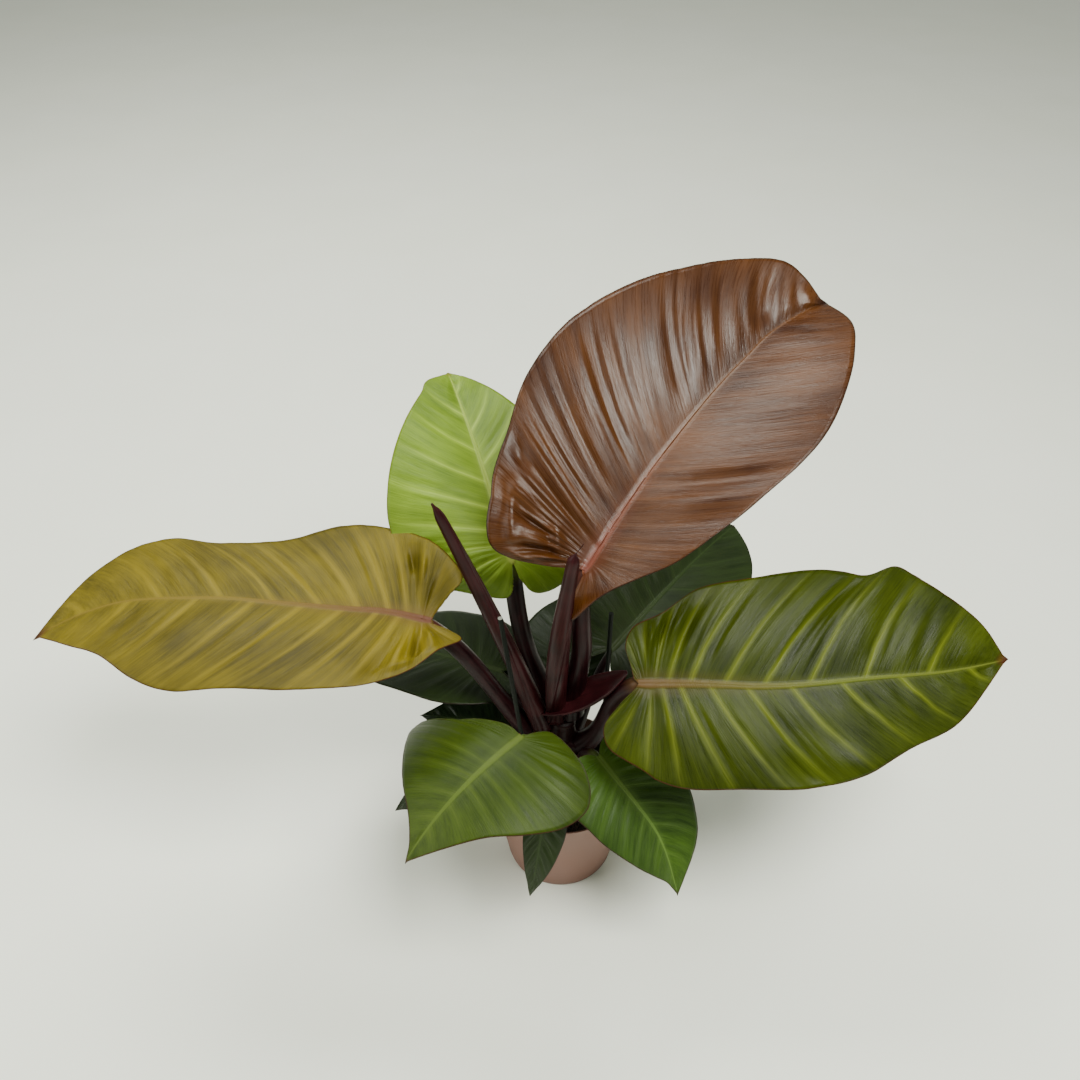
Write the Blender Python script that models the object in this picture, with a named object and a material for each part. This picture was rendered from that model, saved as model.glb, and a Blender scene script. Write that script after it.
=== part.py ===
"""Potted philodendron: a nursery pot with soil, a short stem, twelve leaves on
long leaf stalks, two furled new leaves, two open bud sheaths and two plant stakes.

Metres, +Z up. The pot stands on z = 0 and its axis is the world Z axis. Every
leaf is one blade and one stalk, each a closed solid, set one GAP apart. The
plant's own heights are measured from the soil, so it rises with its pot.
"""

import math
from collections import namedtuple

import bpy
import numpy as np

# Space left between pieces that rest on or in one another.
GAP = 0.0003

# Pot: a plain tapered nursery pot with drain holes round the floor.
POT_HEIGHT = 0.105
POT_BASE_RADIUS = 0.0465
POT_RIM_RADIUS = 0.060
POT_WALL = 0.0015
POT_FLOOR = 0.002
POT_SIDES = 56
DRAIN_COUNT = 6
DRAIN_RADIUS = 0.0045
DRAIN_RING_RADIUS = 0.030
DRAIN_TURN = 7.0

# Soil: fills the pot and stops a little below the rim.
SOIL_BELOW_RIM = 0.012
SOIL_LEVEL = POT_HEIGHT - SOIL_BELOW_RIM
SOIL_MOUND = 0.004
SOIL_SIDES = 40

# Stem: stands in a socket in the soil; the leaf stalks leave from its side, or
# at CROWN_OFFSET from its axis where they stand on its flat top.
STEM_DEPTH = 0.022
STEM_HEIGHT = 0.085
CROWN_OFFSET = 0.0070
STEM_FOOT_RADIUS = 0.0115
STEM_TOP_RADIUS = 0.0100
STEM_SIDES = 20

# Leaves
BLADE_THICKNESS = 0.0010
RIB_DEPTH = 0.0032
RIB_HALF_WIDTH = 0.0035
STALK_SIDES = 10
STALK_RINGS = 9
BLADE_COLUMNS = (0.0, 0.10, 0.32, 0.56, 0.80, 1.0)

# Half outlines of a blade, a row per vein: where the vein leaves the midrib, and
# where it meets the margin, as fractions of the blade's length and half width.
VEINS = (0.00, 0.07, 0.14, 0.21, 0.29, 0.38, 0.48, 0.58, 0.68, 0.78, 0.87, 0.94, 1.00)
VEIN_ORIGINS = (0.0, 0.004, 0.009, 0.017, 0.03, 0.06, 0.12, 0.22, 0.345, 0.50, 0.67, 0.835, 1.0)
OBLONG = (
    (-0.030, 0.050), (-0.082, 0.160), (-0.106, 0.350), (-0.086, 0.570), (-0.015, 0.785),
    (0.110, 0.940), (0.280, 1.000), (0.450, 0.970), (0.620, 0.860), (0.775, 0.660),
    (0.890, 0.400), (0.958, 0.170), (1.000, 0.000),
)
BLUNT = (
    (-0.030, 0.050), (-0.075, 0.150), (-0.092, 0.320), (-0.068, 0.520), (0.000, 0.730),
    (0.120, 0.900), (0.290, 0.990), (0.470, 1.000), (0.650, 0.930), (0.805, 0.770),
    (0.920, 0.510), (0.980, 0.240), (1.000, 0.000),
)
OVATE = (
    (-0.020, 0.050), (-0.058, 0.190), (-0.070, 0.400), (-0.040, 0.640), (0.035, 0.850),
    (0.150, 0.980), (0.290, 0.980), (0.435, 0.870), (0.585, 0.690), (0.730, 0.475),
    (0.850, 0.260), (0.935, 0.110), (1.000, 0.000),
)

Leaf = namedtuple(
    "Leaf",
    "name base heading pitch roll length left right "
    "droop sway twist fold camber lobe_drop node_height node_angle stalk_radius outline",
    defaults=(10, 0, 0, 10, 14, 20, 0.12, 0, 0.0035, OBLONG),
)

# One row per leaf, newest first. base is where the stalk meets the blade, and
# node_height and node_angle say where the stalk leaves the stem. heading turns
# from +X towards +Y and pitch lifts the midrib, both in degrees; roll lifts the
# left half; droop, sway and twist bend the midrib by the time it reaches the tip.
LEAVES = (
    Leaf("copper", (0.013, 0.002, 0.243), 44, 31, 14, 0.284, 0.110, 0.080,
         droop=20, fold=28, camber=18, lobe_drop=34, node_height=STEM_HEIGHT, node_angle=35,
         stalk_radius=0.0050, outline=BLUNT),
    Leaf("lime", (-0.039, 0.050, 0.207), 108, 24, 0, 0.195, 0.078, 0.070,
         droop=18, fold=12, node_height=0.073, node_angle=120, stalk_radius=0.0045),
    Leaf("gold", (-0.097, 0.000, 0.194), 180, 6, -4, 0.292, 0.070, 0.083,
         droop=22, fold=8, node_height=0.055, node_angle=178, stalk_radius=0.0045),
    Leaf("broad", (0.053, -0.030, 0.161), 6, 6, 34, 0.280, 0.079, 0.083,
         droop=18, fold=6, node_height=0.057, node_angle=-20, stalk_radius=0.0045),
    Leaf("back_right", (0.040, 0.045, 0.113), 52, 6, 10, 0.198, 0.070, 0.066,
         droop=16, node_height=0.053, node_angle=50),
    Leaf("under_gold", (-0.050, 0.043, 0.089), 160, 2, 10, 0.155, 0.058, 0.052,
         droop=30, node_height=0.045, node_angle=140),
    Leaf("front_left", (-0.031, -0.060, 0.139), 224, 0, 0, 0.125, 0.074, 0.070,
         droop=50, fold=4, camber=40, node_height=0.039, node_angle=240, outline=OVATE),
    Leaf("front_right", (0.026, -0.044, 0.093), 315, -38, 6, 0.128, 0.046, 0.046,
         droop=20, node_height=0.027, node_angle=302, stalk_radius=0.003, outline=OVATE),
    Leaf("back", (0.002, 0.045, 0.059), 86, 10, 0, 0.118, 0.038, 0.038,
         droop=20, node_height=0.031, node_angle=92, stalk_radius=0.003, outline=OVATE),
    Leaf("lower_left", (-0.038, 0.009, 0.054), 166, 4, 0, 0.092, 0.036, 0.036,
         droop=20, node_height=0.025, node_angle=165, stalk_radius=0.003, outline=OVATE),
    Leaf("low_left", (-0.046, -0.008, 0.039), 192, -10, 0, 0.106, 0.036, 0.036,
         droop=36, node_height=0.013, node_angle=196, stalk_radius=0.0028, outline=OVATE),
    Leaf("small", (-0.014, -0.062, 0.059), 262, -58, 0, 0.090, 0.030, 0.030,
         droop=24, node_height=0.013, node_angle=268, stalk_radius=0.0026, outline=OVATE),
)

# Furled new leaves: a tapered roll from the crown, ending in a thin point.
Spear = namedtuple("Spear", "name node_height node_angle bend tip point foot_radius tip_radius")
SPEARS = (
    Spear("spear_tall", 0.079, 190, (-0.040, 0.000, 0.167), (-0.083, 0.000, 0.293),
          (-0.088, 0.000, 0.305), 0.0062, 0.0042),
    Spear("spear_centre", STEM_HEIGHT, 219, (-0.006, -0.016, 0.177), (0.000, -0.022, 0.263),
          (0.010, -0.022, 0.290), 0.0062, 0.0034),
)

# Bud sheaths: open boat-shaped scales left on the stem by an older leaf. reach
# goes from foot to tip, and stand_off keeps the curved foot clear of the stem.
Sheath = namedtuple("Sheath", "name node_height node_angle stand_off reach half_width depth")
SHEATHS = (
    Sheath("sheath_upper", 0.101, -56, 0.0040, (0.039, -0.012, 0.058), 0.009, 0.007),
    Sheath("sheath_lower", 0.025, -35, 0.0035, (0.019, -0.018, 0.028), 0.008, 0.006),
)
SHEATH_WALL = 0.0010

# Plant stakes: thin canes pushed into the soil.
Stake = namedtuple("Stake", "name foot top")
STAKES = (
    Stake("stake_left", (-0.0206, -0.020, -0.031), (-0.0453, -0.020, 0.217)),
    Stake("stake_right", (0.0350, 0.020, -0.031), (0.0350, 0.020, 0.180)),
)
STAKE_RADIUS = 0.0018
STAKE_SIDES = 12


def above_soil(point):
    """The world place of a point whose height is measured from the soil."""
    return np.array(point) + (0.0, 0.0, SOIL_LEVEL)


def unit(vector):
    vector = np.asarray(vector, float)
    return vector / np.linalg.norm(vector, axis=-1, keepdims=True)


def smoothstep(value):
    value = np.clip(value, 0.0, 1.0)
    return value * value * (3.0 - 2.0 * value)


def principled(name, colour, roughness):
    material = bpy.data.materials.new(name)
    material.use_nodes = True
    shader = material.node_tree.nodes["Principled BSDF"]
    shader.inputs["Base Color"].default_value = (*colour, 1.0)
    shader.inputs["Roughness"].default_value = roughness
    return material


def add_object(name, points, faces, material, smooth=True):
    mesh = bpy.data.meshes.new(name)
    mesh.from_pydata([tuple(map(float, point)) for point in points], [], faces)
    mesh.update()
    mesh.materials.append(material)
    if smooth:
        mesh.shade_smooth()
    piece = bpy.data.objects.new(name, mesh)
    bpy.context.scene.collection.objects.link(piece)
    return piece


def cut(piece, name, points, faces):
    """Takes a hidden closed cutter out of the piece."""
    cutter = add_object(name, points, faces, piece.data.materials[0])
    cutter.hide_render = True
    cutter.display_type = "WIRE"
    boolean = piece.modifiers.new(name, "BOOLEAN")
    boolean.operation = "DIFFERENCE"
    boolean.solver = "EXACT"
    boolean.object = cutter


def loft(rings, first, last):
    """Closed skin over rings of equal count, with an end point at each end."""
    count = len(rings[0])
    points = [point for ring in rings for point in ring] + [first, last]
    faces = []
    for ring in range(len(rings) - 1):
        for side in range(count):
            following = (side + 1) % count
            faces.append((
                ring * count + side,
                ring * count + following,
                (ring + 1) * count + following,
                (ring + 1) * count + side,
            ))
    top = (len(rings) - 1) * count
    for side in range(count):
        following = (side + 1) % count
        faces.append((following, side, len(points) - 2))
        faces.append((top + side, top + following, len(points) - 1))
    return points, faces


def turned(profile, sides):
    """Rings of a turned piece, from (radius, height) pairs off the axis."""
    angles = np.arange(sides) * 2.0 * math.pi / sides
    return [
        [(radius * math.cos(a), radius * math.sin(a), height) for a in angles]
        for radius, height in profile
    ]


def tube(path, radii, sides, flatten=1.0):
    """Closed round tube along a path, with a rounded cap at both ends."""
    path = np.asarray(path, float)
    tangents = unit(np.gradient(path, axis=0))
    side = unit(np.cross(tangents[0], (0.3, 0.9, 0.1)))
    angles = np.arange(sides) * 2.0 * math.pi / sides
    rings = []
    for place, tangent, radius in zip(path, tangents, radii):
        side = unit(side - tangent * np.dot(side, tangent))
        across = np.cross(tangent, side)
        rings.append([
            place + radius * (math.cos(a) * side + flatten * math.sin(a) * across)
            for a in angles
        ])
    foot, end = path[0], path[-1]
    foot_cap = [foot + 0.7 * (point - foot) - 0.7 * radii[0] * tangents[0] for point in rings[0]]
    end_cap = [end + 0.7 * (point - end) + 0.7 * radii[-1] * tangents[-1] for point in rings[-1]]
    return loft(
        [foot_cap, *rings, end_cap],
        foot - radii[0] * tangents[0],
        end + radii[-1] * tangents[-1],
    )


def bezier(start, leave, arrive, end, count):
    t = np.linspace(0.0, 1.0, count)[:, None]
    start, leave, arrive, end = (np.asarray(p, float) for p in (start, leave, arrive, end))
    return (
        (1 - t) ** 3 * start
        + 3 * (1 - t) ** 2 * t * leave
        + 3 * (1 - t) * t**2 * arrive
        + t**3 * end
    )


def pot_inner_radius(height):
    slope = (POT_RIM_RADIUS - POT_BASE_RADIUS) / POT_HEIGHT
    return POT_BASE_RADIUS + slope * height - POT_WALL


def build_pot(material):
    lip = 0.0005
    outer = [
        (DRAIN_RING_RADIUS - 2 * DRAIN_RADIUS, 0.0),
        (DRAIN_RING_RADIUS + 2 * DRAIN_RADIUS, 0.0),
        (POT_BASE_RADIUS - 2 * lip, 0.0),
        (POT_BASE_RADIUS, 2 * lip),
        (POT_RIM_RADIUS, POT_HEIGHT - lip),
        (POT_RIM_RADIUS - lip, POT_HEIGHT),
        (POT_RIM_RADIUS - POT_WALL + lip, POT_HEIGHT),
        (pot_inner_radius(POT_HEIGHT), POT_HEIGHT - lip),
        (pot_inner_radius(POT_FLOOR), POT_FLOOR),
        (DRAIN_RING_RADIUS + 2 * DRAIN_RADIUS, POT_FLOOR),
        (DRAIN_RING_RADIUS - 2 * DRAIN_RADIUS, POT_FLOOR),
    ]
    points, faces = loft(turned(outer, POT_SIDES), (0, 0, 0), (0, 0, POT_FLOOR))
    pot = add_object("pot", points, faces, material)
    pot.data.set_sharp_from_angle(angle=math.radians(40))
    for number in range(DRAIN_COUNT):
        angle = math.radians(DRAIN_TURN + 360.0 * number / DRAIN_COUNT)
        centre = DRAIN_RING_RADIUS * np.array((math.cos(angle), math.sin(angle), 0.0))
        rings = [
            [np.array(point) + centre for point in ring]
            for ring in turned([(DRAIN_RADIUS, -POT_FLOOR), (DRAIN_RADIUS, 2 * POT_FLOOR)], 16)
        ]
        ends = [centre + (0, 0, height) for height in (-POT_FLOOR, 2 * POT_FLOOR)]
        cut(pot, f"drain_cutter_{number}", *loft(rings, *ends))


def soil_height(radius, angle):
    """Top of the soil: a low mound with a few gentle dips."""
    uneven = math.sin(3 * angle + 0.4) + 0.6 * math.sin(5 * angle + 2.0)
    share = radius / POT_RIM_RADIUS
    return SOIL_LEVEL + SOIL_MOUND * (0.6 - share**2) + 0.0009 * uneven * share


def build_soil(material):
    floor = POT_FLOOR + GAP
    edge = SOIL_LEVEL - 0.002
    angles = np.arange(SOIL_SIDES) * 2.0 * math.pi / SOIL_SIDES
    rings = turned([
        (pot_inner_radius(floor) - GAP, floor),
        (pot_inner_radius(edge) - GAP, edge),
    ], SOIL_SIDES)
    for share in (0.985, 0.80, 0.58, 0.32):
        radius = share * (pot_inner_radius(SOIL_LEVEL) - GAP)
        rings.append([
            (radius * math.cos(a), radius * math.sin(a), soil_height(radius, a))
            for a in angles
        ])
    points, faces = loft(rings, (0, 0, floor), (0, 0, soil_height(0.0, 0.0)))
    soil = add_object("soil", points, faces, material)
    soil.data.set_sharp_from_angle(angle=math.radians(45))
    above = SOIL_LEVEL + 0.02
    socket = SOIL_LEVEL - STEM_DEPTH - GAP
    rings = turned([(STEM_FOOT_RADIUS + GAP, socket), (STEM_FOOT_RADIUS + GAP, above)], STEM_SIDES)
    cut(soil, "stem_socket_cutter", *loft(rings, (0, 0, socket), (0, 0, above)))
    for stake in STAKES:
        foot, top = above_soil(stake.foot), above_soil(stake.top)
        along = unit(top - foot)
        radius = STAKE_RADIUS + GAP
        path = [foot, foot + 0.05 * along]
        points, faces = tube(path, [radius, radius], STAKE_SIDES)
        cut(soil, f"{stake.name}_socket_cutter", points, faces)


def stem_radius(height):
    share = min(max(height / STEM_HEIGHT, 0.0), 1.0)
    return STEM_FOOT_RADIUS + (STEM_TOP_RADIUS - STEM_FOOT_RADIUS) * share


def build_stem(material):
    profile = [(0.8 * STEM_FOOT_RADIUS, -STEM_DEPTH)]
    for height in np.linspace(0.003 - STEM_DEPTH, STEM_HEIGHT - 0.006, 12):
        profile.append((stem_radius(height), height))
    profile.append((0.97 * STEM_TOP_RADIUS, STEM_HEIGHT - 0.0025))
    profile.append((0.80 * STEM_TOP_RADIUS, STEM_HEIGHT - 0.0003))
    profile = [(radius, SOIL_LEVEL + height) for radius, height in profile]
    foot, top = above_soil((0, 0, -STEM_DEPTH)), above_soil((0, 0, STEM_HEIGHT))
    points, faces = loft(turned(profile, STEM_SIDES), foot, top)
    add_object("stem", points, faces, material)


def node_place(height, angle, radius):
    """Centre of a round foot seated on the stem, and the way it leaves: out from
    the stem's side, or straight up from its top."""
    outward = np.array((math.cos(math.radians(angle)), math.sin(math.radians(angle)), 0.0))
    if height < STEM_HEIGHT:
        reach = stem_radius(height) + radius + GAP
        return above_soil(outward * reach + (0.0, 0.0, height)), outward
    return above_soil(outward * CROWN_OFFSET + (0.0, 0.0, height + GAP + radius)), outward * 0.0


def midrib(leaf):
    """Stations along the midrib, from behind the blade's base to its tip:
    share of the length, place, direction, left and up."""
    share = np.linspace(-0.2, 1.04, 63)
    ahead = np.clip(share, 0.0, None)
    behind = np.clip(-share, 0.0, None)
    pitch = np.radians(leaf.pitch - leaf.droop * ahead**1.4 + leaf.lobe_drop * behind / 0.12)
    heading = np.radians(leaf.heading + leaf.sway * ahead)
    roll = np.radians(leaf.roll + leaf.twist * ahead)[:, None]
    flat = np.cos(pitch)
    ahead = np.stack((np.cos(heading) * flat, np.sin(heading) * flat, np.sin(pitch)), axis=1)
    level = np.stack((-np.sin(heading), np.cos(heading), 0 * heading), axis=1)
    rise = np.cross(ahead, level)
    left = level * np.cos(roll) + rise * np.sin(roll)
    up = rise * np.cos(roll) - level * np.sin(roll)
    step = (share[1] - share[0]) * leaf.length
    middle = 0.5 * (ahead[1:] + ahead[:-1]) * step
    place = np.concatenate((np.zeros((1, 3)), np.cumsum(middle, axis=0)))
    start = np.argmin(np.abs(share))
    place = place - place[start] + above_soil(leaf.base)
    return share, place, ahead, left, up


def bent(leaf, along, across):
    """Carries points of the flat blade onto the folded, drooping one."""
    share, place, _, left, up = midrib(leaf)
    at = along / leaf.length
    centre, left, up = (
        np.stack([np.interp(at, share, rows[:, axis]) for axis in range(3)], axis=-1)
        for rows in (place, left, up)
    )
    half_width = np.where(across > 0, leaf.left, leaf.right)
    fold = math.radians(leaf.fold)
    curl = math.radians(leaf.camber) / half_width
    reach = np.abs(across)
    sideways = np.sign(across) * (math.sin(fold) - np.sin(fold - curl * reach)) / curl
    lift = (np.cos(fold - curl * reach) - math.cos(fold)) / curl
    return centre + left * sideways[..., None] + up * lift[..., None]


def blade_grid(leaf, rows, columns):
    """Flat blade points: a row per vein, and columns from right margin to left."""
    margin = np.array(leaf.outline)
    origin = np.interp(rows, VEINS, VEIN_ORIGINS)
    along, across = (np.interp(rows, VEINS, margin[:, axis]) for axis in range(2))
    reach = np.abs(columns)[None, :]
    origin, along, across = origin[:, None], along[:, None], across[:, None]
    control = origin + 0.35 * (along - origin)
    x = (1 - reach) ** 2 * origin + 2 * (1 - reach) * reach * control + reach**2 * along
    y = 2 * (1 - reach) * reach * 0.55 * across + reach**2 * across
    half_width = np.where(columns > 0, leaf.left, leaf.right)
    return x * leaf.length, y * np.sign(columns)[None, :] * half_width[None, :]


def build_blade(leaf, material):
    columns = np.array([-c for c in BLADE_COLUMNS[:0:-1]] + list(BLADE_COLUMNS))
    along, across = blade_grid(leaf, np.array(VEINS[:-1]), columns)
    rows, count = along.shape
    middle = count // 2
    along = np.append(along.ravel(), leaf.length)
    across = np.append(across.ravel(), 0.0)
    reach = 0.0005
    place = bent(leaf, along, across)
    ahead = bent(leaf, along + reach, across) - place
    left = bent(leaf, along, across + reach) - place
    upward = unit(np.cross(ahead, left))
    size = leaf.length / 0.28
    rib = RIB_DEPTH * size * smoothstep((along / leaf.stalk_radius - 1.2) / 1.2)
    rib = rib * np.clip(1.0 - along / leaf.length, 0.0, 1.0) ** 0.8
    rib = rib * (np.abs(across) < 1e-9)
    top = place + 0.5 * BLADE_THICKNESS * upward
    bottom = place - (0.5 * BLADE_THICKNESS + rib)[:, None] * upward
    points = np.concatenate((top, bottom))
    under = len(top)
    tip = rows * count
    faces = []
    for row in range(rows - 1):
        for column in range(count - 1):
            corner = row * count + column
            quad = (corner, corner + count, corner + count + 1, corner + 1)
            faces.append(quad)
            faces.append(tuple(under + index for index in reversed(quad)))
    last = (rows - 1) * count
    for column in range(count - 1):
        faces.append((last + column, tip, last + column + 1))
        faces.append((under + last + column + 1, under + tip, under + last + column))
    right_edge = [row * count for row in range(rows)]
    left_edge = [row * count + count - 1 for row in reversed(range(rows))]
    rim = right_edge + [tip] + left_edge + list(range(count - 2, 0, -1))
    for number, here in enumerate(rim):
        following = rim[(number + 1) % len(rim)]
        faces.append((following, here, under + here, under + following))
    add_object(f"leaf_{leaf.name}_blade", points, faces, material)


def build_stalk(leaf, material):
    share, _, ahead, _, up = midrib(leaf)
    start = np.argmin(np.abs(share))
    ahead, up = ahead[start], up[start]
    end_radius = 0.72 * leaf.stalk_radius
    drop = 0.5 * BLADE_THICKNESS + GAP + end_radius
    end = above_soil(leaf.base) - drop * up
    foot_radius = 1.15 * leaf.stalk_radius
    foot, outward = node_place(leaf.node_height, leaf.node_angle, foot_radius)
    leave = unit(outward + (0.0, 0.0, 1.1))
    arrive = unit(0.55 * ahead + 0.6 * up)
    reach = np.linalg.norm(end - foot)
    path = bezier(foot, foot + 0.35 * reach * leave, end - 0.33 * reach * arrive, end, STALK_RINGS)
    along = np.linspace(0.0, 1.0, STALK_RINGS)
    radii = foot_radius + (end_radius - foot_radius) * along
    points, faces = tube(path, radii, STALK_SIDES)
    add_object(f"leaf_{leaf.name}_stalk", points, faces, material)


def build_spear(spear, material):
    foot, _ = node_place(spear.node_height, spear.node_angle, spear.foot_radius)
    bend, tip, point = (above_soil(p) for p in (spear.bend, spear.tip, spear.point))
    path = list(bezier(foot, 0.5 * (foot + bend), bend, tip, 9))
    path += [tip + 0.5 * (point - tip), point]
    along = np.linspace(0.0, 1.0, 9)
    radii = list(spear.foot_radius + (spear.tip_radius - spear.foot_radius) * along**1.5)
    radii += [0.45 * spear.tip_radius, 0.0008]
    points, faces = tube(path, radii, STALK_SIDES)
    add_object(spear.name, points, faces, material)


def build_sheath(sheath, material):
    foot, _ = node_place(sheath.node_height, sheath.node_angle, sheath.stand_off)
    reach = np.array(sheath.reach)
    along = unit(reach)
    side = unit(np.cross(along, (0.0, 0.0, 1.0)))
    up = np.cross(side, along)
    angles = np.radians(np.linspace(-80.0, 80.0, 8))
    rings = []
    for share in np.linspace(0.0, 1.0, 9):
        swell = math.sin(math.pi * (0.14 + 0.80 * share)) ** 0.7
        wide = sheath.half_width * swell
        deep = sheath.depth * swell
        middle = foot + share * reach - 0.3 * deep * up
        outer, inner = [], []
        for a in angles:
            outer.append(middle + wide * math.sin(a) * side - deep * math.cos(a) * up)
            thin = SHEATH_WALL
            inner.append(
                middle + (wide - thin) * math.sin(a) * side - (deep - thin) * math.cos(a) * up
            )
        rings.append(outer + inner[::-1])
    count = len(rings[0])
    points = [point for ring in rings for point in ring]
    faces = []
    for ring in range(len(rings) - 1):
        for corner in range(count):
            following = (corner + 1) % count
            faces.append((
                ring * count + corner,
                (ring + 1) * count + corner,
                (ring + 1) * count + following,
                ring * count + following,
            ))
    top = (len(rings) - 1) * count
    half = count // 2
    for corner in range(half - 1):
        partner = count - 1 - corner
        faces.append((corner, corner + 1, partner - 1, partner))
        faces.append((top + partner, top + partner - 1, top + corner + 1, top + corner))
    add_object(sheath.name, points, faces, material)


def build_stake(stake, material):
    foot, top = above_soil(stake.foot), above_soil(stake.top)
    path = [foot, 0.5 * (foot + top), top]
    points, faces = tube(path, [STAKE_RADIUS] * 3, STAKE_SIDES)
    add_object(stake.name, points, faces, material)


def main():
    for piece in list(bpy.data.objects):
        bpy.data.objects.remove(piece)
    build_pot(principled("pot_plastic", (0.42, 0.18, 0.12), 0.55))
    build_soil(principled("soil", (0.02, 0.014, 0.010), 0.95))
    build_stem(principled("stem", (0.05, 0.012, 0.014), 0.45))
    colours = {
        "copper": (0.16, 0.035, 0.018),
        "lime": (0.22, 0.36, 0.035),
        "gold": (0.23, 0.17, 0.025),
    }
    for leaf in LEAVES:
        colour = colours.get(leaf.name, (0.05, 0.12, 0.02))
        build_blade(leaf, principled(f"leaf_{leaf.name}_blade", colour, 0.35))
        build_stalk(leaf, principled(f"leaf_{leaf.name}_stalk", (0.06, 0.012, 0.014), 0.35))
    for spear in SPEARS:
        build_spear(spear, principled(spear.name, (0.05, 0.008, 0.012), 0.3))
    for sheath in SHEATHS:
        build_sheath(sheath, principled(sheath.name, (0.07, 0.010, 0.016), 0.3))
    for stake in STAKES:
        build_stake(stake, principled(stake.name, (0.10, 0.16, 0.06), 0.6))


main()
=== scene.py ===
"""Looks of the potted philodendron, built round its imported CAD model.

Metres, +Z up, pot axis on the world Z axis. Each leaf keeps its solid's place and
size, on a grid fine enough for its own margin, pleats, creases and midrib.
"""

import math
from collections import namedtuple

import bpy
import numpy as np
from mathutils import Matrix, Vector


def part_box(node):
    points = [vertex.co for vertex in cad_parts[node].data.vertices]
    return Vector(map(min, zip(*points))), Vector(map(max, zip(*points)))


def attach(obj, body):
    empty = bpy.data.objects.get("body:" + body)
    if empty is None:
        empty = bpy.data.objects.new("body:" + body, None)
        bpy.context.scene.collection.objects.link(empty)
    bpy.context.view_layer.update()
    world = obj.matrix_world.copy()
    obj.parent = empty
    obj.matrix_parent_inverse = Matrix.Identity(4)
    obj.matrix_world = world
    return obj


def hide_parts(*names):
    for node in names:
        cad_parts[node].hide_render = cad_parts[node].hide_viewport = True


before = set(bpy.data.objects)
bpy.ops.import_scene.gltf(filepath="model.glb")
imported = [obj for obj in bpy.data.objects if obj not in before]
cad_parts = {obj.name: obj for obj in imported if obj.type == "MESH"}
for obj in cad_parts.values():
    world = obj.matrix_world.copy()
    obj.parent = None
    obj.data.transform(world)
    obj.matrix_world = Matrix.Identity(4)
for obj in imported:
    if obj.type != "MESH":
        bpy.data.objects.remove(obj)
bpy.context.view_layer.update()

# Sizes come from the CAD solids where they can: the pot's, and the stem's height.
POT_LOW, POT_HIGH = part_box("pot")
POT_HEIGHT = POT_HIGH[2] - POT_LOW[2]
POT_RIM_RADIUS = 0.5 * (POT_HIGH[0] - POT_LOW[0])
POT_BASE_RADIUS = 0.775 * POT_RIM_RADIUS
POT_WALL = 0.0013
POT_FLOOR = 0.002
SOIL_BELOW_RIM = 0.012
SOIL_LEVEL = POT_HEIGHT - SOIL_BELOW_RIM
SOIL_MOUND = 0.004
SOIL_ROUGH = 0.0006
STEM_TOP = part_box("stem")[1][2] - SOIL_LEVEL
STEM_FOOT_RADIUS = 0.0115
STEM_TOP_RADIUS = 0.0100
SCAR_RISE, SCAR_WIDTH = 0.0007, 0.0008
CROWN_OFFSET = 0.0070
GAP = 0.0003
DRAINS, DRAIN_TURN, DRAIN_RADIUS, DRAIN_RING = 6, 7.0, 0.0045, 0.030
# Share of a leaf's length over which its back lobes reach, and its midrib's stations.
LOBE_SHARE, MIDRIB_SPAN = 0.12, (-0.2, 1.04, 125)
# Grids of a long and a short blade: rows, and columns to either side of the midrib.
LONG_LEAF, LONG_GRID, SHORT_GRID = 0.19, (250, 40), (120, 26)
# Half a blade's thickness at its midrib, how much thinner it is at its margin, and
# half its tip's.
BLADE_HALF, BLADE_THINNING, TIP_HALF = 0.00035, 0.00015, 0.0001
STALK_STATIONS = 60

# Where the veins leave the midrib, and half outlines of a blade, a row per vein: where
# it meets the margin, as fractions of the blade's length and half width.
VEINS = (0.0, 0.07, 0.14, 0.21, 0.29, 0.38, 0.48, 0.58, 0.68, 0.78, 0.87, 0.94, 1.0)
VEIN_ORIGINS = (0.0, 0.004, 0.009, 0.017, 0.03, 0.06, 0.12, 0.22, 0.345, 0.5, 0.67, 0.835, 1.0)
OBLONG = (
    (-0.03, 0.05), (-0.082, 0.16), (-0.106, 0.35), (-0.086, 0.57), (-0.015, 0.785), (0.11, 0.94),
    (0.28, 1.0), (0.45, 0.97), (0.62, 0.86), (0.775, 0.66), (0.89, 0.4), (0.958, 0.17), (1.0, 0.0),
)
OVATE = (
    (-0.02, 0.05), (-0.058, 0.19), (-0.07, 0.4), (-0.04, 0.64), (0.035, 0.85), (0.15, 0.98),
    (0.29, 0.98), (0.435, 0.87), (0.585, 0.69), (0.73, 0.475), (0.85, 0.26), (0.935, 0.11),
    (1.0, 0.0),
)

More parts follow.
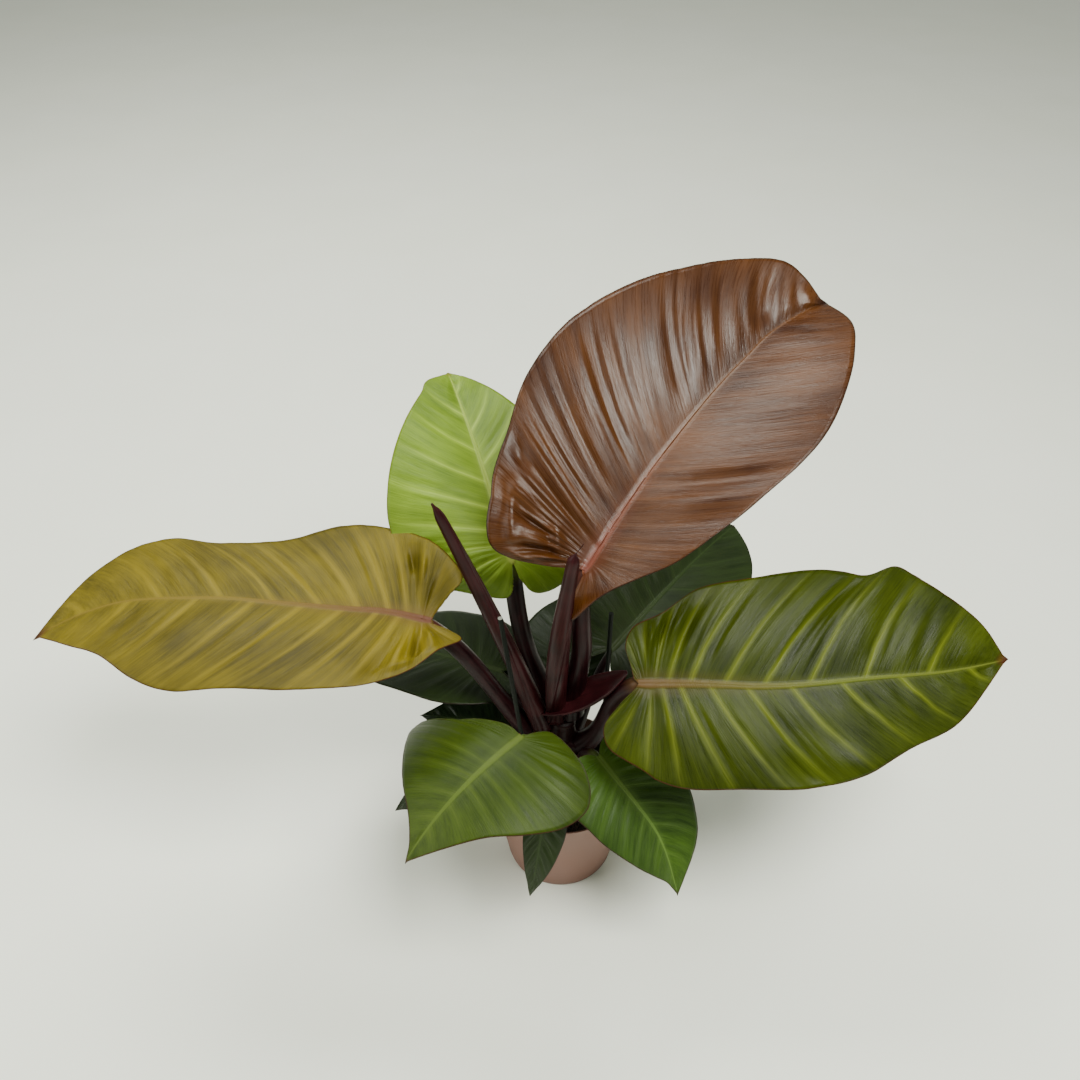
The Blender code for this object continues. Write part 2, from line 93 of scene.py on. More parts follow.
Leaf = namedtuple(
    "Leaf",
    "name base heading pitch roll length left right "
    "droop fold camber lobe_drop node_height node_angle stalk_radius",
    defaults=(10, 10, 14, 20, 0.12, 0, 0.0035),
)
LEAVES = (
    Leaf("copper", (0.013, 0.002, 0.243), 44, 31, 14, 0.284, 0.11, 0.08,
         droop=20, fold=28, camber=18, lobe_drop=34, node_height=STEM_TOP, node_angle=35,
         stalk_radius=0.005),
    Leaf("lime", (-0.039, 0.05, 0.207), 108, 24, 0, 0.195, 0.078, 0.07,
         droop=18, fold=12, lobe_drop=48, node_height=0.073, node_angle=120,
         stalk_radius=0.0045),
    Leaf("gold", (-0.097, 0.0, 0.194), 180, 6, -4, 0.292, 0.07, 0.083,
         droop=22, fold=8, node_height=0.055, node_angle=178, stalk_radius=0.0045),
    Leaf("broad", (0.053, -0.03, 0.161), 6, 6, 34, 0.28, 0.079, 0.083,
         droop=18, fold=6, node_height=0.057, node_angle=-20, stalk_radius=0.0045),
    Leaf("back_right", (0.04, 0.045, 0.113), 52, 6, 10, 0.198, 0.07, 0.066,
         droop=16, node_height=0.053, node_angle=50),
    Leaf("under_gold", (-0.05, 0.043, 0.089), 160, 2, 10, 0.155, 0.058, 0.052,
         droop=30, node_height=0.045, node_angle=140),
    Leaf("front_left", (-0.031, -0.06, 0.139), 224, 0, 0, 0.125, 0.074, 0.07,
         droop=50, fold=4, camber=40, node_height=0.039, node_angle=240),
    Leaf("front_right", (0.026, -0.044, 0.093), 315, -38, 6, 0.128, 0.046, 0.046,
         droop=20, node_height=0.027, node_angle=302, stalk_radius=0.003),
    Leaf("back", (0.002, 0.045, 0.059), 86, 10, 0, 0.118, 0.038, 0.038,
         droop=20, node_height=0.031, node_angle=92, stalk_radius=0.003),
    Leaf("lower_left", (-0.038, 0.009, 0.054), 166, 4, 0, 0.092, 0.036, 0.036,
         droop=20, node_height=0.025, node_angle=165, stalk_radius=0.003),
    Leaf("low_left", (-0.046, -0.008, 0.039), 192, -10, 0, 0.106, 0.036, 0.036,
         droop=36, node_height=0.013, node_angle=196, stalk_radius=0.0028),
    Leaf("small", (-0.014, -0.062, 0.059), 262, -58, 0, 0.09, 0.03, 0.03,
         droop=24, node_height=0.013, node_angle=268, stalk_radius=0.0026),
)

# The margins, as half outlines to the left and right, and how far the midrib wanders
# to the left of its solid's, in millimetres, at every tenth of the length.
Form = namedtuple("Form", "left right wander", defaults=((0,) * 11,))
FORMS = {
    "copper": Form(
        ((-0.01, 0.05), (-0.04, 0.22), (-0.06, 0.45), (-0.05, 0.62), (0.03, 0.81), (0.15, 0.94),
         (0.28, 1.08), (0.44, 1.11), (0.6, 1.01), (0.75, 0.82), (0.88, 0.6), (0.968, 0.36),
         (0.975, 0.0)),
        ((-0.02, 0.03), (-0.07, 0.06), (-0.115, 0.16), (-0.03, 0.31), (0.05, 0.49), (0.14, 0.7),
         (0.26, 0.85), (0.41, 0.96), (0.56, 1.0), (0.7, 0.89), (0.83, 0.67), (0.925, 0.4),
         (0.975, 0.0)),
        (0, 3, 5.5, 8, 9.5, 11, 12, 12, 12, 7, 0)),
    "lime": Form(
        ((-0.07, 0.02), (-0.165, 0.09), (-0.165, 0.27), (-0.13, 0.5), (-0.04, 0.73), (0.12, 0.95),
         (0.29, 1.05), (0.44, 0.97), (0.6, 0.8), (0.74, 0.58), (0.86, 0.37), (0.93, 0.26),
         (0.975, 0.0)),
        ((-0.07, 0.03), (-0.13, 0.14), (-0.145, 0.3), (-0.12, 0.48), (-0.04, 0.7), (0.1, 0.9),
         (0.26, 0.97), (0.42, 0.9), (0.58, 0.75), (0.73, 0.54), (0.85, 0.34), (0.925, 0.17),
         (0.975, 0.0))),
    "gold": Form(
        ((-0.01, 0.04), (-0.05, 0.1), (-0.08, 0.19), (-0.03, 0.37), (0.045, 0.67), (0.15, 0.87),
         (0.3, 0.94), (0.46, 0.915), (0.59, 0.91), (0.69, 0.75), (0.8, 0.41), (0.9, 0.22),
         (1.0, 0.0)),
        ((-0.01, 0.05), (-0.035, 0.2), (-0.06, 0.38), (-0.03, 0.56), (0.03, 0.79), (0.13, 1.0),
         (0.26, 1.07), (0.41, 0.86), (0.56, 0.83), (0.71, 0.95), (0.84, 0.81), (0.925, 0.49),
         (1.0, 0.0)),
        (0, -6, -7, -9, -12, -16, -18, -20, -20, -13, 0)),
    "broad": Form(
        ((-0.01, 0.05), (-0.012, 0.18), (-0.015, 0.36), (0.01, 0.52), (0.09, 0.61), (0.19, 0.79),
         (0.32, 0.84), (0.5, 0.88), (0.63, 0.8), (0.72, 0.85), (0.83, 0.62), (0.93, 0.34),
         (1.0, 0.0)),
        ((-0.02, 0.06), (-0.07, 0.16), (-0.125, 0.3), (-0.125, 0.5), (-0.03, 0.75), (0.07, 0.93),
         (0.235, 1.01), (0.4, 1.06), (0.54, 1.0), (0.69, 0.79), (0.83, 0.59), (0.92, 0.3),
         (1.0, 0.0)),
        (0, -4, -8.5, -13, -15, -15, -14, -13, -11, -6.5, 0)),
    "front_left": Form(
        ((-0.03, 0.04), (-0.1, 0.06), (-0.165, 0.14), (-0.185, 0.33), (-0.185, 0.58),
         (-0.12, 0.83), (0.03, 0.96), (0.215, 0.92), (0.4, 0.73), (0.56, 0.49), (0.74, 0.27),
         (0.855, 0.13), (0.96, 0.0)),
        ((0.0, 0.04), (0.0, 0.16), (0.02, 0.3), (0.09, 0.55), (0.165, 0.76), (0.22, 1.02),
         (0.265, 1.32), (0.36, 1.38), (0.52, 1.03), (0.66, 0.6), (0.76, 0.27), (0.86, 0.08),
         (0.96, 0.0))),
    "front_right": Form(
        (*OVATE[:5], (0.15, 1.02), (0.31, 1.12), (0.46, 1.09), (0.61, 1.0), (0.745, 0.81),
         (0.855, 0.49), (0.935, 0.21), (1.0, 0.0)),
        (*OVATE[:5], (0.16, 0.94), (0.29, 0.865), (0.43, 0.76), (0.57, 0.6), (0.69, 0.43),
         (0.8, 0.24), (0.89, 0.085), (1.0, 0.0)),
        (0, 1, 2.5, 4, 5.5, 7, 7.5, 6.5, 4.5, 2, 0)),
    "small": Form(
        ((-0.02, 0.032), (-0.058, 0.12), (-0.07, 0.26), (-0.04, 0.41), (0.035, 0.54), (0.15, 0.61),
         (0.29, 0.59), (0.435, 0.485), (0.585, 0.33), (0.73, 0.15), (0.85, -0.03), (0.935, -0.155),
         (1.0, -0.25)),
        ((-0.02, 0.024), (-0.058, 0.09), (-0.07, 0.19), (-0.04, 0.31), (0.035, 0.41), (0.15, 0.48),
         (0.29, 0.51), (0.435, 0.49), (0.585, 0.445), (0.73, 0.385), (0.85, 0.32), (0.935, 0.28),
         (1.0, 0.25)),
        (0, -0.3, -0.7, -1.2, -1.9, -2.7, -3.5, -4.4, -5.4, -6.4, -7.5)),
    "under_gold": Form(OBLONG, tuple((along, 1.2 * across) for along, across in OBLONG)),
    "back_right": Form(OBLONG, OBLONG),
    "back": Form(tuple((along, 1.45 * across) for along, across in OVATE), OVATE),
    "lower_left": Form(*2 * (tuple((0.9 * along, across) for along, across in OVATE),)),
    "low_left": Form(OVATE, OVATE),
}

# Dents and creases: side, vein row, reach from midrib to margin, spread along the
# rows, spread along the reach, and height in millimetres.
BUCKLES = {
    "lime": ((1, 0.33, 1.05, 0.2, 0.5, -40.0),),
    "copper": ((1, 0.13, 0.6, 0.02, 0.25, 4.0), (1, 0.18, 0.55, 0.016, 0.22, -4.5),
        (1, 0.225, 0.62, 0.018, 0.16, 5.0), (1, 0.265, 0.55, 0.014, 0.16, -4.5),
        (1, 0.31, 0.7, 0.018, 0.13, 4.0), (1, 0.24, 0.78, 0.06, 0.05, 3.5),
        (1, 0.2, 0.42, 0.05, 0.05, -3.0), (1, 0.37, 0.82, 0.02, 0.1, -3.5),
        (1, 0.28, 0.33, 0.04, 0.06, 3.0), (1, 0.15, 0.86, 0.04, 0.06, 3.0),
        (1, 0.42, 0.45, 0.022, 0.35, 3.0), (1, 0.5, 0.5, 0.024, 0.35, -3.0),
        (1, 0.58, 0.5, 0.022, 0.35, 3.0), (1, 0.66, 0.45, 0.02, 0.35, -2.5),
        (-1, 0.62, 0.55, 0.02, 0.4, -3.0), (-1, 0.56, 0.6, 0.03, 0.4, 3.0)),
    "gold": ((-1, 0.2, 1.0, 0.17, 0.45, 17.0), (-1, 0.29, 0.55, 0.02, 0.2, 8.0),
        (-1, 0.33, 0.66, 0.014, 0.12, -7.0), (-1, 0.24, 0.45, 0.025, 0.25, 4.0),
        (1, 0.22, 0.6, 0.02, 0.25, 6.0), (1, 0.27, 0.6, 0.016, 0.22, -6.0),
        (1, 0.33, 0.6, 0.02, 0.26, 5.0), (1, 0.38, 0.7, 0.018, 0.22, -4.5),
        (1, 0.3, 0.82, 0.06, 0.06, 3.0)),
    "broad": ((1, 0.27, 0.65, 0.02, 0.2, 5.0), (1, 0.31, 0.7, 0.016, 0.18, -5.0),
        (1, 0.37, 0.6, 0.016, 0.2, 3.5), (1, 0.42, 0.55, 0.016, 0.2, -3.0),
        (1, 0.68, 0.85, 0.03, 0.25, -4.0), (1, 0.77, 0.85, 0.03, 0.25, 5.0),
        (-1, 0.36, 0.35, 0.03, 0.2, 2.5), (-1, 0.6, 0.9, 0.03, 0.2, -4.0),
        (-1, 0.7, 0.9, 0.03, 0.2, 3.0)),
}

# How each blade's skin looks: colours, side veins a half, how strongly their lines and
# halos are drawn, pleats on the left and right halves and the margin's wave in
# millimetres, and roughness and specular level.
Skin = namedtuple(
    "Skin",
    "deep light vein rib_base rib_tip margin under laterals drawn halo pleat wave roughness gloss",
    defaults=(9, 0.35, 0.2, (0.7, 0.7), 1.0, 0.38, 0.22),
)
DEEP_GREEN = Skin("#131E08", "#22300F", "#2C3C1A", "#323E20", "#2A3A18", "#200E0C", "#2A3C1C")
SKINS = {
    "copper": Skin("#2C1305", "#502D0E", "#583517", "#663428", "#583618", "#1E0A06", "#7A4422",
                   laterals=13, drawn=0.15, halo=0.12, pleat=(2.0, 0.35), wave=1.2,
                   roughness=0.27, gloss=0.32),
    "lime": Skin("#4A620E", "#708A22", "#98AE46", "#868F3C", "#869A3A", "#6A681C", "#64801E",
                 laterals=10, drawn=0.35, halo=0.5, pleat=(0.8, 0.8), wave=1.5),
    "gold": Skin("#3E370B", "#6C5F14", "#7C6C24", "#563026", "#6A5A20", "#3E140C", "#5C4E18",
                 laterals=12, drawn=0.15, halo=0.55, pleat=(1.0, 1.0), wave=1.2,
                 roughness=0.42, gloss=0.16),
    "broad": Skin("#1C2405", "#3E480B", "#6E7622", "#5E4428", "#5E6624", "#4A140E", "#465818",
                  laterals=12, drawn=0.25, halo=0.7, pleat=(1.3, 1.0), wave=1.2,
                  roughness=0.30, gloss=0.11),
    "front_left": Skin("#1E2C06", "#3A4A10", "#505E22", "#4E5C22", "#4C5C20", "#3A0E0C", "#3C5020",
                       laterals=12, drawn=0.15, halo=0.25, pleat=(0.5, 0.5), wave=0.5,
                       gloss=0.16),
    "lower_left": Skin("#121E0E", "#20301A", "#2C3C20", "#323E20", "#2A3A18", "#200E0C",
                       "#2A3C1C", gloss=0.7, roughness=0.3),
    "front_right": Skin("#1C3008", "#3C5618", "#566E30", "#5C7030", "#587230", "#2E0C0C",
                        "#3C5424", laterals=10, drawn=0.15, pleat=(0.6, 0.6), wave=0.8,
                        gloss=0.18),
}

# Half thicknesses of a furled leaf, in millimetres, at these shares of its length: it
# swells above its foot and ends in a beak or a bristle.
SPEAR_SHARES = (0.0, 0.2, 0.4, 0.6, 0.76, 0.82, 0.86, 1.0)
Spear = namedtuple("Spear", "name node_height node_angle bend tip point foot_radius radii")
SPEARS = (
    Spear("spear_tall", 0.079, 190, (-0.040, 0.000, 0.167), (-0.083, 0.000, 0.293),
          (-0.088, 0.000, 0.305), 0.0062, (8.4, 8.4, 7.6, 6.4, 4.9, 4.0, 3.0, 0.8)),
    Spear("spear_centre", STEM_TOP, 219, (-0.006, -0.016, 0.185), (0.004, -0.022, 0.276),
          (0.010, -0.022, 0.290), 0.0062, (7.6, 8.6, 8.7, 7.4, 5.2, 4.3, 1.6, 0.35)),
)
Sheath = namedtuple("Sheath", "name node_height node_angle stand_off reach half_width depth")
SHEATHS = (
    Sheath("sheath_upper", 0.101, -56, 0.0040, (0.041, -0.012, 0.054), 0.0155, 0.0100),
    Sheath("sheath_lower", 0.025, -35, 0.0035, (0.020, -0.019, 0.030), 0.0110, 0.0075),
)
SHEATH_CLASP = (0.021, 0.001, -0.003)
SHEATH_WRAP, SHEATH_WALL = 84.0, 0.0009
Stake = namedtuple("Stake", "name foot top")
STAKES = (
    Stake("stake_left", (-0.0206, -0.020, -0.031), (-0.0453, -0.020, 0.217)),
    Stake("stake_right", (0.0350, 0.020, -0.031), (0.0350, 0.020, 0.180)),
)
STAKE_RADIUS = 0.0018
# Leaf stalks that stand stouter than their solids, up to their blades.
STOUT = {"copper": 1.3, "lime": 1.5, "gold": 1.4, "broad": 1.4}
# How far the middle of a stalk bows away from its straight run, in metres.
BOW = {"copper": (0.009, -0.004, 0.0), "lime": (-0.003, 0.0, 0.0)}

# The studio: camera, floor, and lamps with their place, turn, size and power.
CAMERA_PLACE = (-0.018, -0.495, 0.812)
CAMERA_TILT = 48.0
LENS_MM, SENSOR_MM = 33.27, 36.0
FLOOR_HALF = 60.0
LAMPS = (
    ("key_front", (0.60, -0.62, 1.9), (0, 8, 0), (1.0, 0.7), 54.0),
    ("key_back", (-0.50, 0.95, 1.9), (-12, -8, 0), (1.3, 0.8), 36.0),
    ("fill_left", (-1.8, -0.4, 1.3), (0, -58, 0), (1.4, 1.4), 24.0),
)


# ---------------------------------------------------------------- small tools

def linear(colour):
    """The linear RGBA of an sRGB hex colour."""
    parts = [int(colour[place:place + 2], 16) / 255.0 for place in (1, 3, 5)]
    return (*(c / 12.92 if c <= 0.04045 else ((c + 0.055) / 1.055) ** 2.4 for c in parts), 1.0)


def wire(node, inputs):
    """Gives a node's inputs their links, hex colours or plain values."""
    for key, value in inputs.items():
        socket = node.inputs[key]
        if isinstance(value, bpy.types.NodeSocket):
            node.id_data.links.new(value, socket)
        elif isinstance(value, str) and value.startswith("#"):
            socket.default_value = linear(value)
        else:
            socket.default_value = value


def add(tree, kind, inputs=None, out=0, **settings):
    """Adds a node with its settings and inputs, and returns one output. Its kind goes
    without the word of its family."""
    family = next(word for word in ("ShaderNode", "GeometryNode", "FunctionNode")
                  if hasattr(bpy.types, word + kind))
    node = tree.nodes.new(family + kind)
    for setting, value in settings.items():
        setattr(node, setting, value)
    wire(node, inputs or {})
    return node.outputs[out]


def show(name, data):
    """Puts data in the scene as an object at the origin."""
    thing = bpy.data.objects.new(name, data)
    bpy.context.scene.collection.objects.link(thing)
    return thing


def unit(vector):
    vector = np.asarray(vector, float)
    return vector / np.linalg.norm(vector, axis=-1, keepdims=True)


def smoothstep(value):
    value = np.clip(value, 0.0, 1.0)
    return value * value * (3.0 - 2.0 * value)


def turns(sides):
    """Angles of this many even steps round a circle."""
    return [2.0 * math.pi * step / sides for step in range(sides)]


def above_soil(point):
    return np.array(point) + (0.0, 0.0, SOIL_LEVEL)


def flowing(at, knots, values):
    """Smooth curve through the knots, read at each place in at."""
    knots, values = np.asarray(knots, float), np.asarray(values, float)
    slope = np.gradient(values, knots)
    left = np.clip(np.searchsorted(knots, at, side="right") - 1, 0, len(knots) - 2)
    span = knots[left + 1] - knots[left]
    t = (at - knots[left]) / span
    return (
        (1 + 2 * t) * (1 - t) ** 2 * values[left]
        + t * (1 - t) ** 2 * span * slope[left]
        + t**2 * (3 - 2 * t) * values[left + 1]
        + t**2 * (t - 1) * span * slope[left + 1]
    )


def bezier(start, leave, arrive, end, count):
    t = np.linspace(0.0, 1.0, count)[:, None]
    start, leave, arrive, end = (np.asarray(p, float) for p in (start, leave, arrive, end))
    return (
        (1 - t) ** 3 * start + 3 * (1 - t) ** 2 * t * leave
        + 3 * (1 - t) * t**2 * arrive + t**3 * end
    )


def make_mesh(name, points, faces, materials, fields=None, face_slots=None):
    mesh = bpy.data.meshes.new(name)
    mesh.from_pydata(np.asarray(points, float).tolist(), [], faces)
    for field, values in (fields or {}).items():
        values = np.asarray(values, np.float32)
        kind, slot_name = ("FLOAT", "value") if values.ndim == 1 else ("FLOAT_VECTOR", "vector")
        layer = mesh.attributes.new(field, kind, "POINT")
        layer.data.foreach_set(slot_name, values.ravel())
    for material in materials:
        mesh.materials.append(material)
    if face_slots is not None:
        mesh.polygons.foreach_set("material_index", face_slots)
    mesh.shade_smooth()
    mesh.update()
    return mesh


def place_piece(name, mesh, slot, *nodes):
    """Puts a finished mesh in the scene: it rides on the plant's one body and stands
    for the CAD nodes named, which it hides. The slot is not used."""
    mesh.name = name
    piece = show(name, mesh)
    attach(piece, "root")
    if nodes:
        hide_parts(*nodes)


def plain_mesh(host):
    """The mesh of an object as its modifiers leave it."""
    graph = bpy.context.evaluated_depsgraph_get()
    return bpy.data.meshes.new_from_object(host.evaluated_get(graph), depsgraph=graph)


def grown(name, mesh, tree, values):
    """The plain mesh that a Geometry Nodes tree makes from this mesh."""
    host = show(name + "_host", mesh)
    modifier = host.modifiers.new(name, "NODES")
    modifier.node_group = tree
    sockets = {
        item.name: item.identifier
        for item in tree.interface.items_tree
        if item.item_type == "SOCKET" and item.in_out == "INPUT"
    }
    for socket, value in values.items():
        modifier[sockets[socket]] = value
    result = plain_mesh(host)
    host.modifiers.clear()
    bpy.data.objects.remove(host)
    return result


def new_tree(name, **inputs):
    """A geometry tree with its named inputs, its way in and its way out."""
    tree = bpy.data.node_groups.new(name, "GeometryNodeTree")
    for way in ("INPUT", "OUTPUT"):
        tree.interface.new_socket("Geometry", in_out=way, socket_type="NodeSocketGeometry")
    for socket, (kind, value) in inputs.items():
        made = tree.interface.new_socket(
            socket.replace("_", " "), in_out="INPUT", socket_type="NodeSocket" + kind)
        if value is not None:
            made.default_value = value
    return tree, tree.nodes.new("NodeGroupInput"), tree.nodes.new("NodeGroupOutput")


def surface(name, **values):
    """A new material: its tree, its shader, with the constant values on its sockets."""
    material = bpy.data.materials.new(name)
    material.use_nodes = True
    shader = material.node_tree.nodes["Principled BSDF"]
    wire(shader, {socket.replace("_", " "): value for socket, value in values.items()})
    return material, material.node_tree, shader


# ------------------------------------------------------------- camera and light

def build_studio():
    camera = show("camera", bpy.data.cameras.new("camera"))
    camera.data.lens, camera.data.sensor_width = LENS_MM, SENSOR_MM
    camera.location = CAMERA_PLACE
    camera.rotation_euler = (math.radians(CAMERA_TILT), 0.0, 0.0)
    bpy.context.scene.camera = camera

    # Laminate table top: off-white, faintly mottled, with a soft sheen.
    laminate, tree, shader = surface("white_table_laminate", Roughness=0.45)
    mottle = add(tree, "TexNoise", {
        "Vector": add(tree, "TexCoord", out=3), "Scale": 6.0, "Detail": 3.0})
    wire(shader, {"Base Color": add(
        tree, "Mix", {0: mottle, 6: "#F0F3E6", 7: "#F8FAF0"}, out=2, data_type="RGBA")})
    corners = [(x * FLOOR_HALF, y * FLOOR_HALF, 0)
               for x, y in ((-1, -1), (1, -1), (1, 1), (-1, 1))]
    show("floor", make_mesh("floor", corners, [(0, 1, 2, 3)], [laminate]))

    for name, place, turn, size, watts in LAMPS:
        lamp = bpy.data.lights.new(name, "AREA")
        lamp.shape = "RECTANGLE"
        lamp.size, lamp.size_y = size
        lamp.energy = watts
        lamp.color = linear("#FEFFF6")[:3]
        light = show(name, lamp)
        light.location = place
        light.rotation_euler = [math.radians(a) for a in turn]
    world = bpy.data.worlds.new("studio")
    world.use_nodes = True
    wire(world.node_tree.nodes["Background"], {"Color": "#FAFFF2", "Strength": 0.36})
    bpy.context.scene.world = world


# ----------------------------------------------------------------------- blades

def wander(leaf, share):
    """How far the midrib stands to the left of its solid's, in metres."""
    tenths = np.linspace(0.0, 1.0, 11)
    return 0.001 * flowing(np.clip(share, 0.0, 1.0), tenths, FORMS[leaf.name].wander)


def midrib(leaf):
    """Stations along the midrib, from behind the blade's base to its tip."""
    share = np.linspace(*MIDRIB_SPAN)
    beyond, behind = np.clip(share, 0.0, None), np.clip(-share, 0.0, None)
    pitch = np.radians(
        leaf.pitch - leaf.droop * beyond**1.4 + leaf.lobe_drop * behind / LOBE_SHARE)
    heading, roll = np.radians(leaf.heading), np.radians(leaf.roll)
    flat = np.cos(pitch)
    ahead = np.stack((np.cos(heading) * flat, np.sin(heading) * flat, np.sin(pitch)), axis=1)
    level = np.array((-np.sin(heading), np.cos(heading), 0.0))
    rise = np.cross(ahead, level)
    left = level * np.cos(roll) + rise * np.sin(roll)
    up = rise * np.cos(roll) - level * np.sin(roll)
    step = (share[1] - share[0]) * leaf.length
    middle = 0.5 * (ahead[1:] + ahead[:-1]) * step
    place = np.concatenate((np.zeros((1, 3)), np.cumsum(middle, axis=0)))
    start = np.argmin(np.abs(share))
    place = place - place[start] + above_soil(leaf.base)
    return share, place + left * wander(leaf, share)[:, None], ahead, left, up


def bent(leaf, along, across):
    """Carries points of the flat blade onto the folded, drooping one."""
    share, place, _, left, up = midrib(leaf)
    at = along / leaf.length
    centre, left, up = (
        np.stack([np.interp(at, share, rows[:, axis]) for axis in range(3)], axis=-1)
        for rows in (place, left, up)
    )
    half_width = np.where(across > 0, leaf.left, leaf.right)
    fold = math.radians(leaf.fold)
    curl = math.radians(leaf.camber) / half_width
    reach = np.abs(across)
    sideways = np.sign(across) * (math.sin(fold) - np.sin(fold - curl * reach)) / curl
    lift = (np.cos(fold - curl * reach) - math.cos(fold)) / curl
    return centre + left * sideways[..., None] + up * lift[..., None]


def blade_grid(leaf, rows, columns):
    """Flat blade points: a row along each vein, from right margin to left."""
    form = FORMS[leaf.name]
    origin = (form.left[-1][0] * flowing(rows, VEINS, VEIN_ORIGINS))[:, None]
    reach = np.abs(columns)[None, :]
    x, y = 0.0, 0.0
    for side, outline, half_width in ((1, form.left, leaf.left), (-1, form.right, leaf.right)):
        margin = np.array(outline)
        along, across = (flowing(rows, VEINS, margin[:, axis])[:, None] for axis in range(2))
        across = side * across * half_width - wander(leaf, along)
        control = origin + 0.35 * (along - origin)
        here = np.where(columns * side > 0, 1.0, 0.0)[None, :]
        x = x + here * ((1 - reach) ** 2 * origin + 2 * (1 - reach) * reach * control
                        + reach**2 * along)
        y = y + here * (2 * (1 - reach) * reach * 0.55 * across + reach**2 * across)
    x = x + np.where(columns == 0, 1.0, 0.0)[None, :] * origin
    return x * leaf.length, y


def blade_material(leaf, skin):
    """Living leaf, a waxed cuticle over soft tissue: the eye sees a satin gloss that
    breaks into streaks along the side veins, paler veins, and a thin red margin."""
    material, tree, shader = surface(
        f"living_leaf_{leaf.name}", IOR=1.45, Specular_IOR_Level=skin.gloss)
    lay, edge = (
        add(tree, "SeparateXYZ", {0: add(tree, "Attribute", attribute_name=name, out=1)}).node
        for name in ("lay", "edge"))
    lateral, reach, spacing = lay.outputs
    rib_share, margin_mm, under = edge.outputs
    along = add(tree, "Attribute", attribute_name="along", out=2)
    at = add(tree, "TexCoord", out=3)

    # Millimetres from the nearest side vein.
    wobble = add(tree, "TexNoise", {"Vector": at, "Scale": 40.0, "Detail": 2.0})
    nearest = add(tree, "Math", {0: wobble, 1: 0.12, 2: lateral}, operation="MULTIPLY_ADD")
    for half in (1.0, 0.5):
        nearest = add(tree, "Math", {0: nearest, 1: half}, operation="PINGPONG")
    vein_mm = add(tree, "Math", {0: nearest, 1: spacing}, operation="MULTIPLY")

    # Soft-edged marks: what each follows, from where to where, and its strength at
    # both. The drip tip dries brown, as the margin does.
    line, halo, room, rib, glow, hem, dry = (
        add(tree, "MapRange", dict(enumerate(mark)), interpolation_type="SMOOTHSTEP")
        for mark in (
            (vein_mm, 0.1, 1.1, skin.drawn, 0.0), (vein_mm, 0.0, 4.5, skin.halo, 0.0),
            (spacing, 4.0, 18.0, 0.0, 1.0), (rib_share, 0.6, 1.4, 0.9, 0.0),
            (rib_share, 1.0, 4.0, 0.22, 0.0), (margin_mm, 0.35, 0.9, 0.85, 0.0),
            (along, 0.955, 0.995, 0.0, 0.9)))
    rib, hem = (add(tree, "Math", {0: one, 1: other}, operation="MAXIMUM")
                for one, other in ((rib, glow), (hem, dry)))

    # Veins pale towards the margin, and where they crowd together at the blade's base.
    fade = add(tree, "MapRange", {0: reach, 1: 0.25, 2: 1.0, 3: 1.0, 4: 0.12})
    line, halo = (add(tree, "Math", {0: mark, 1: fade}, operation="MULTIPLY")
                  for mark in (line, halo))
    line = add(tree, "Math", {0: halo, 1: 0.5, 2: line}, operation="MULTIPLY_ADD",
               use_clamp=True)
    line, halo = (add(tree, "Math", {0: room, 1: mark}, operation="MULTIPLY")
                  for mark in (line, halo))

    # Fine parallel veins, about a millimetre apart, and tissue that varies between them.
    lines_at = add(tree, "CombineXYZ", {
        0: add(tree, "Math", {0: lateral, 1: 7.0}, operation="MULTIPLY"),
        1: add(tree, "Math", {0: reach, 1: 0.9}, operation="MULTIPLY"),
        2: under})
    fine, streaks = (
        add(tree, "Mix", {0: room, 2: 0.5, 3: add(
            tree, "TexNoise", {"Vector": lines_at, **grain})}, data_type="FLOAT")
        for grain in ({"Scale": 2.4, "Detail": 4.0, "Roughness": 0.7},
                      {"Scale": 0.45, "Detail": 2.0, "Distortion": 0.3}))
    tissue = add(tree, "TexNoise", {"Vector": at, "Scale": 18.0, "Detail": 3.0})
    for pattern, strength in ((fine, 0.9), (streaks, 0.6)):
        tissue = add(tree, "Math", {0: pattern, 1: strength, 2: tissue},
                     operation="MULTIPLY_ADD")
    tissue = add(tree, "MapRange", {0: tissue, 1: 0.93, 2: 1.55})
    tissue = add(tree, "Math", {0: tissue, 1: halo}, operation="ADD", use_clamp=True)

    # The midrib is flushed near the leaf stalk and pales towards the tip.
    rib_colour = add(tree, "Mix", {
        0: add(tree, "MapRange", {0: along, 1: 0.0, 2: 0.5}),
        6: skin.rib_base, 7: skin.rib_tip}, out=2, data_type="RGBA")
    paler = add(tree, "Math", {0: under, 1: 0.75}, operation="MULTIPLY")
    colour = skin.deep
    for cover, tint in ((tissue, skin.light), (line, skin.vein), (rib, rib_colour),
                        (paler, skin.under), (hem, skin.margin)):
        colour = add(tree, "Mix", {0: cover, 6: colour, 7: tint}, out=2, data_type="RGBA")

    rough = add(tree, "MapRange", {
        0: fine, 1: 0.3, 2: 0.7, 3: skin.roughness - 0.05, 4: skin.roughness + 0.09})
    relief = fine
    for pattern, strength in ((line, -0.6), (streaks, 0.7)):
        relief = add(tree, "Math", {0: pattern, 1: strength, 2: relief},
                     operation="MULTIPLY_ADD")
    wire(shader, {
        "Base Color": colour,
        "Roughness": add(tree, "Math", {0: under, 1: 0.2, 2: rough}, operation="MULTIPLY_ADD"),
        "Normal": add(tree, "Bump", {"Height": relief, "Strength": 0.5, "Distance": 0.0007})})
    return material


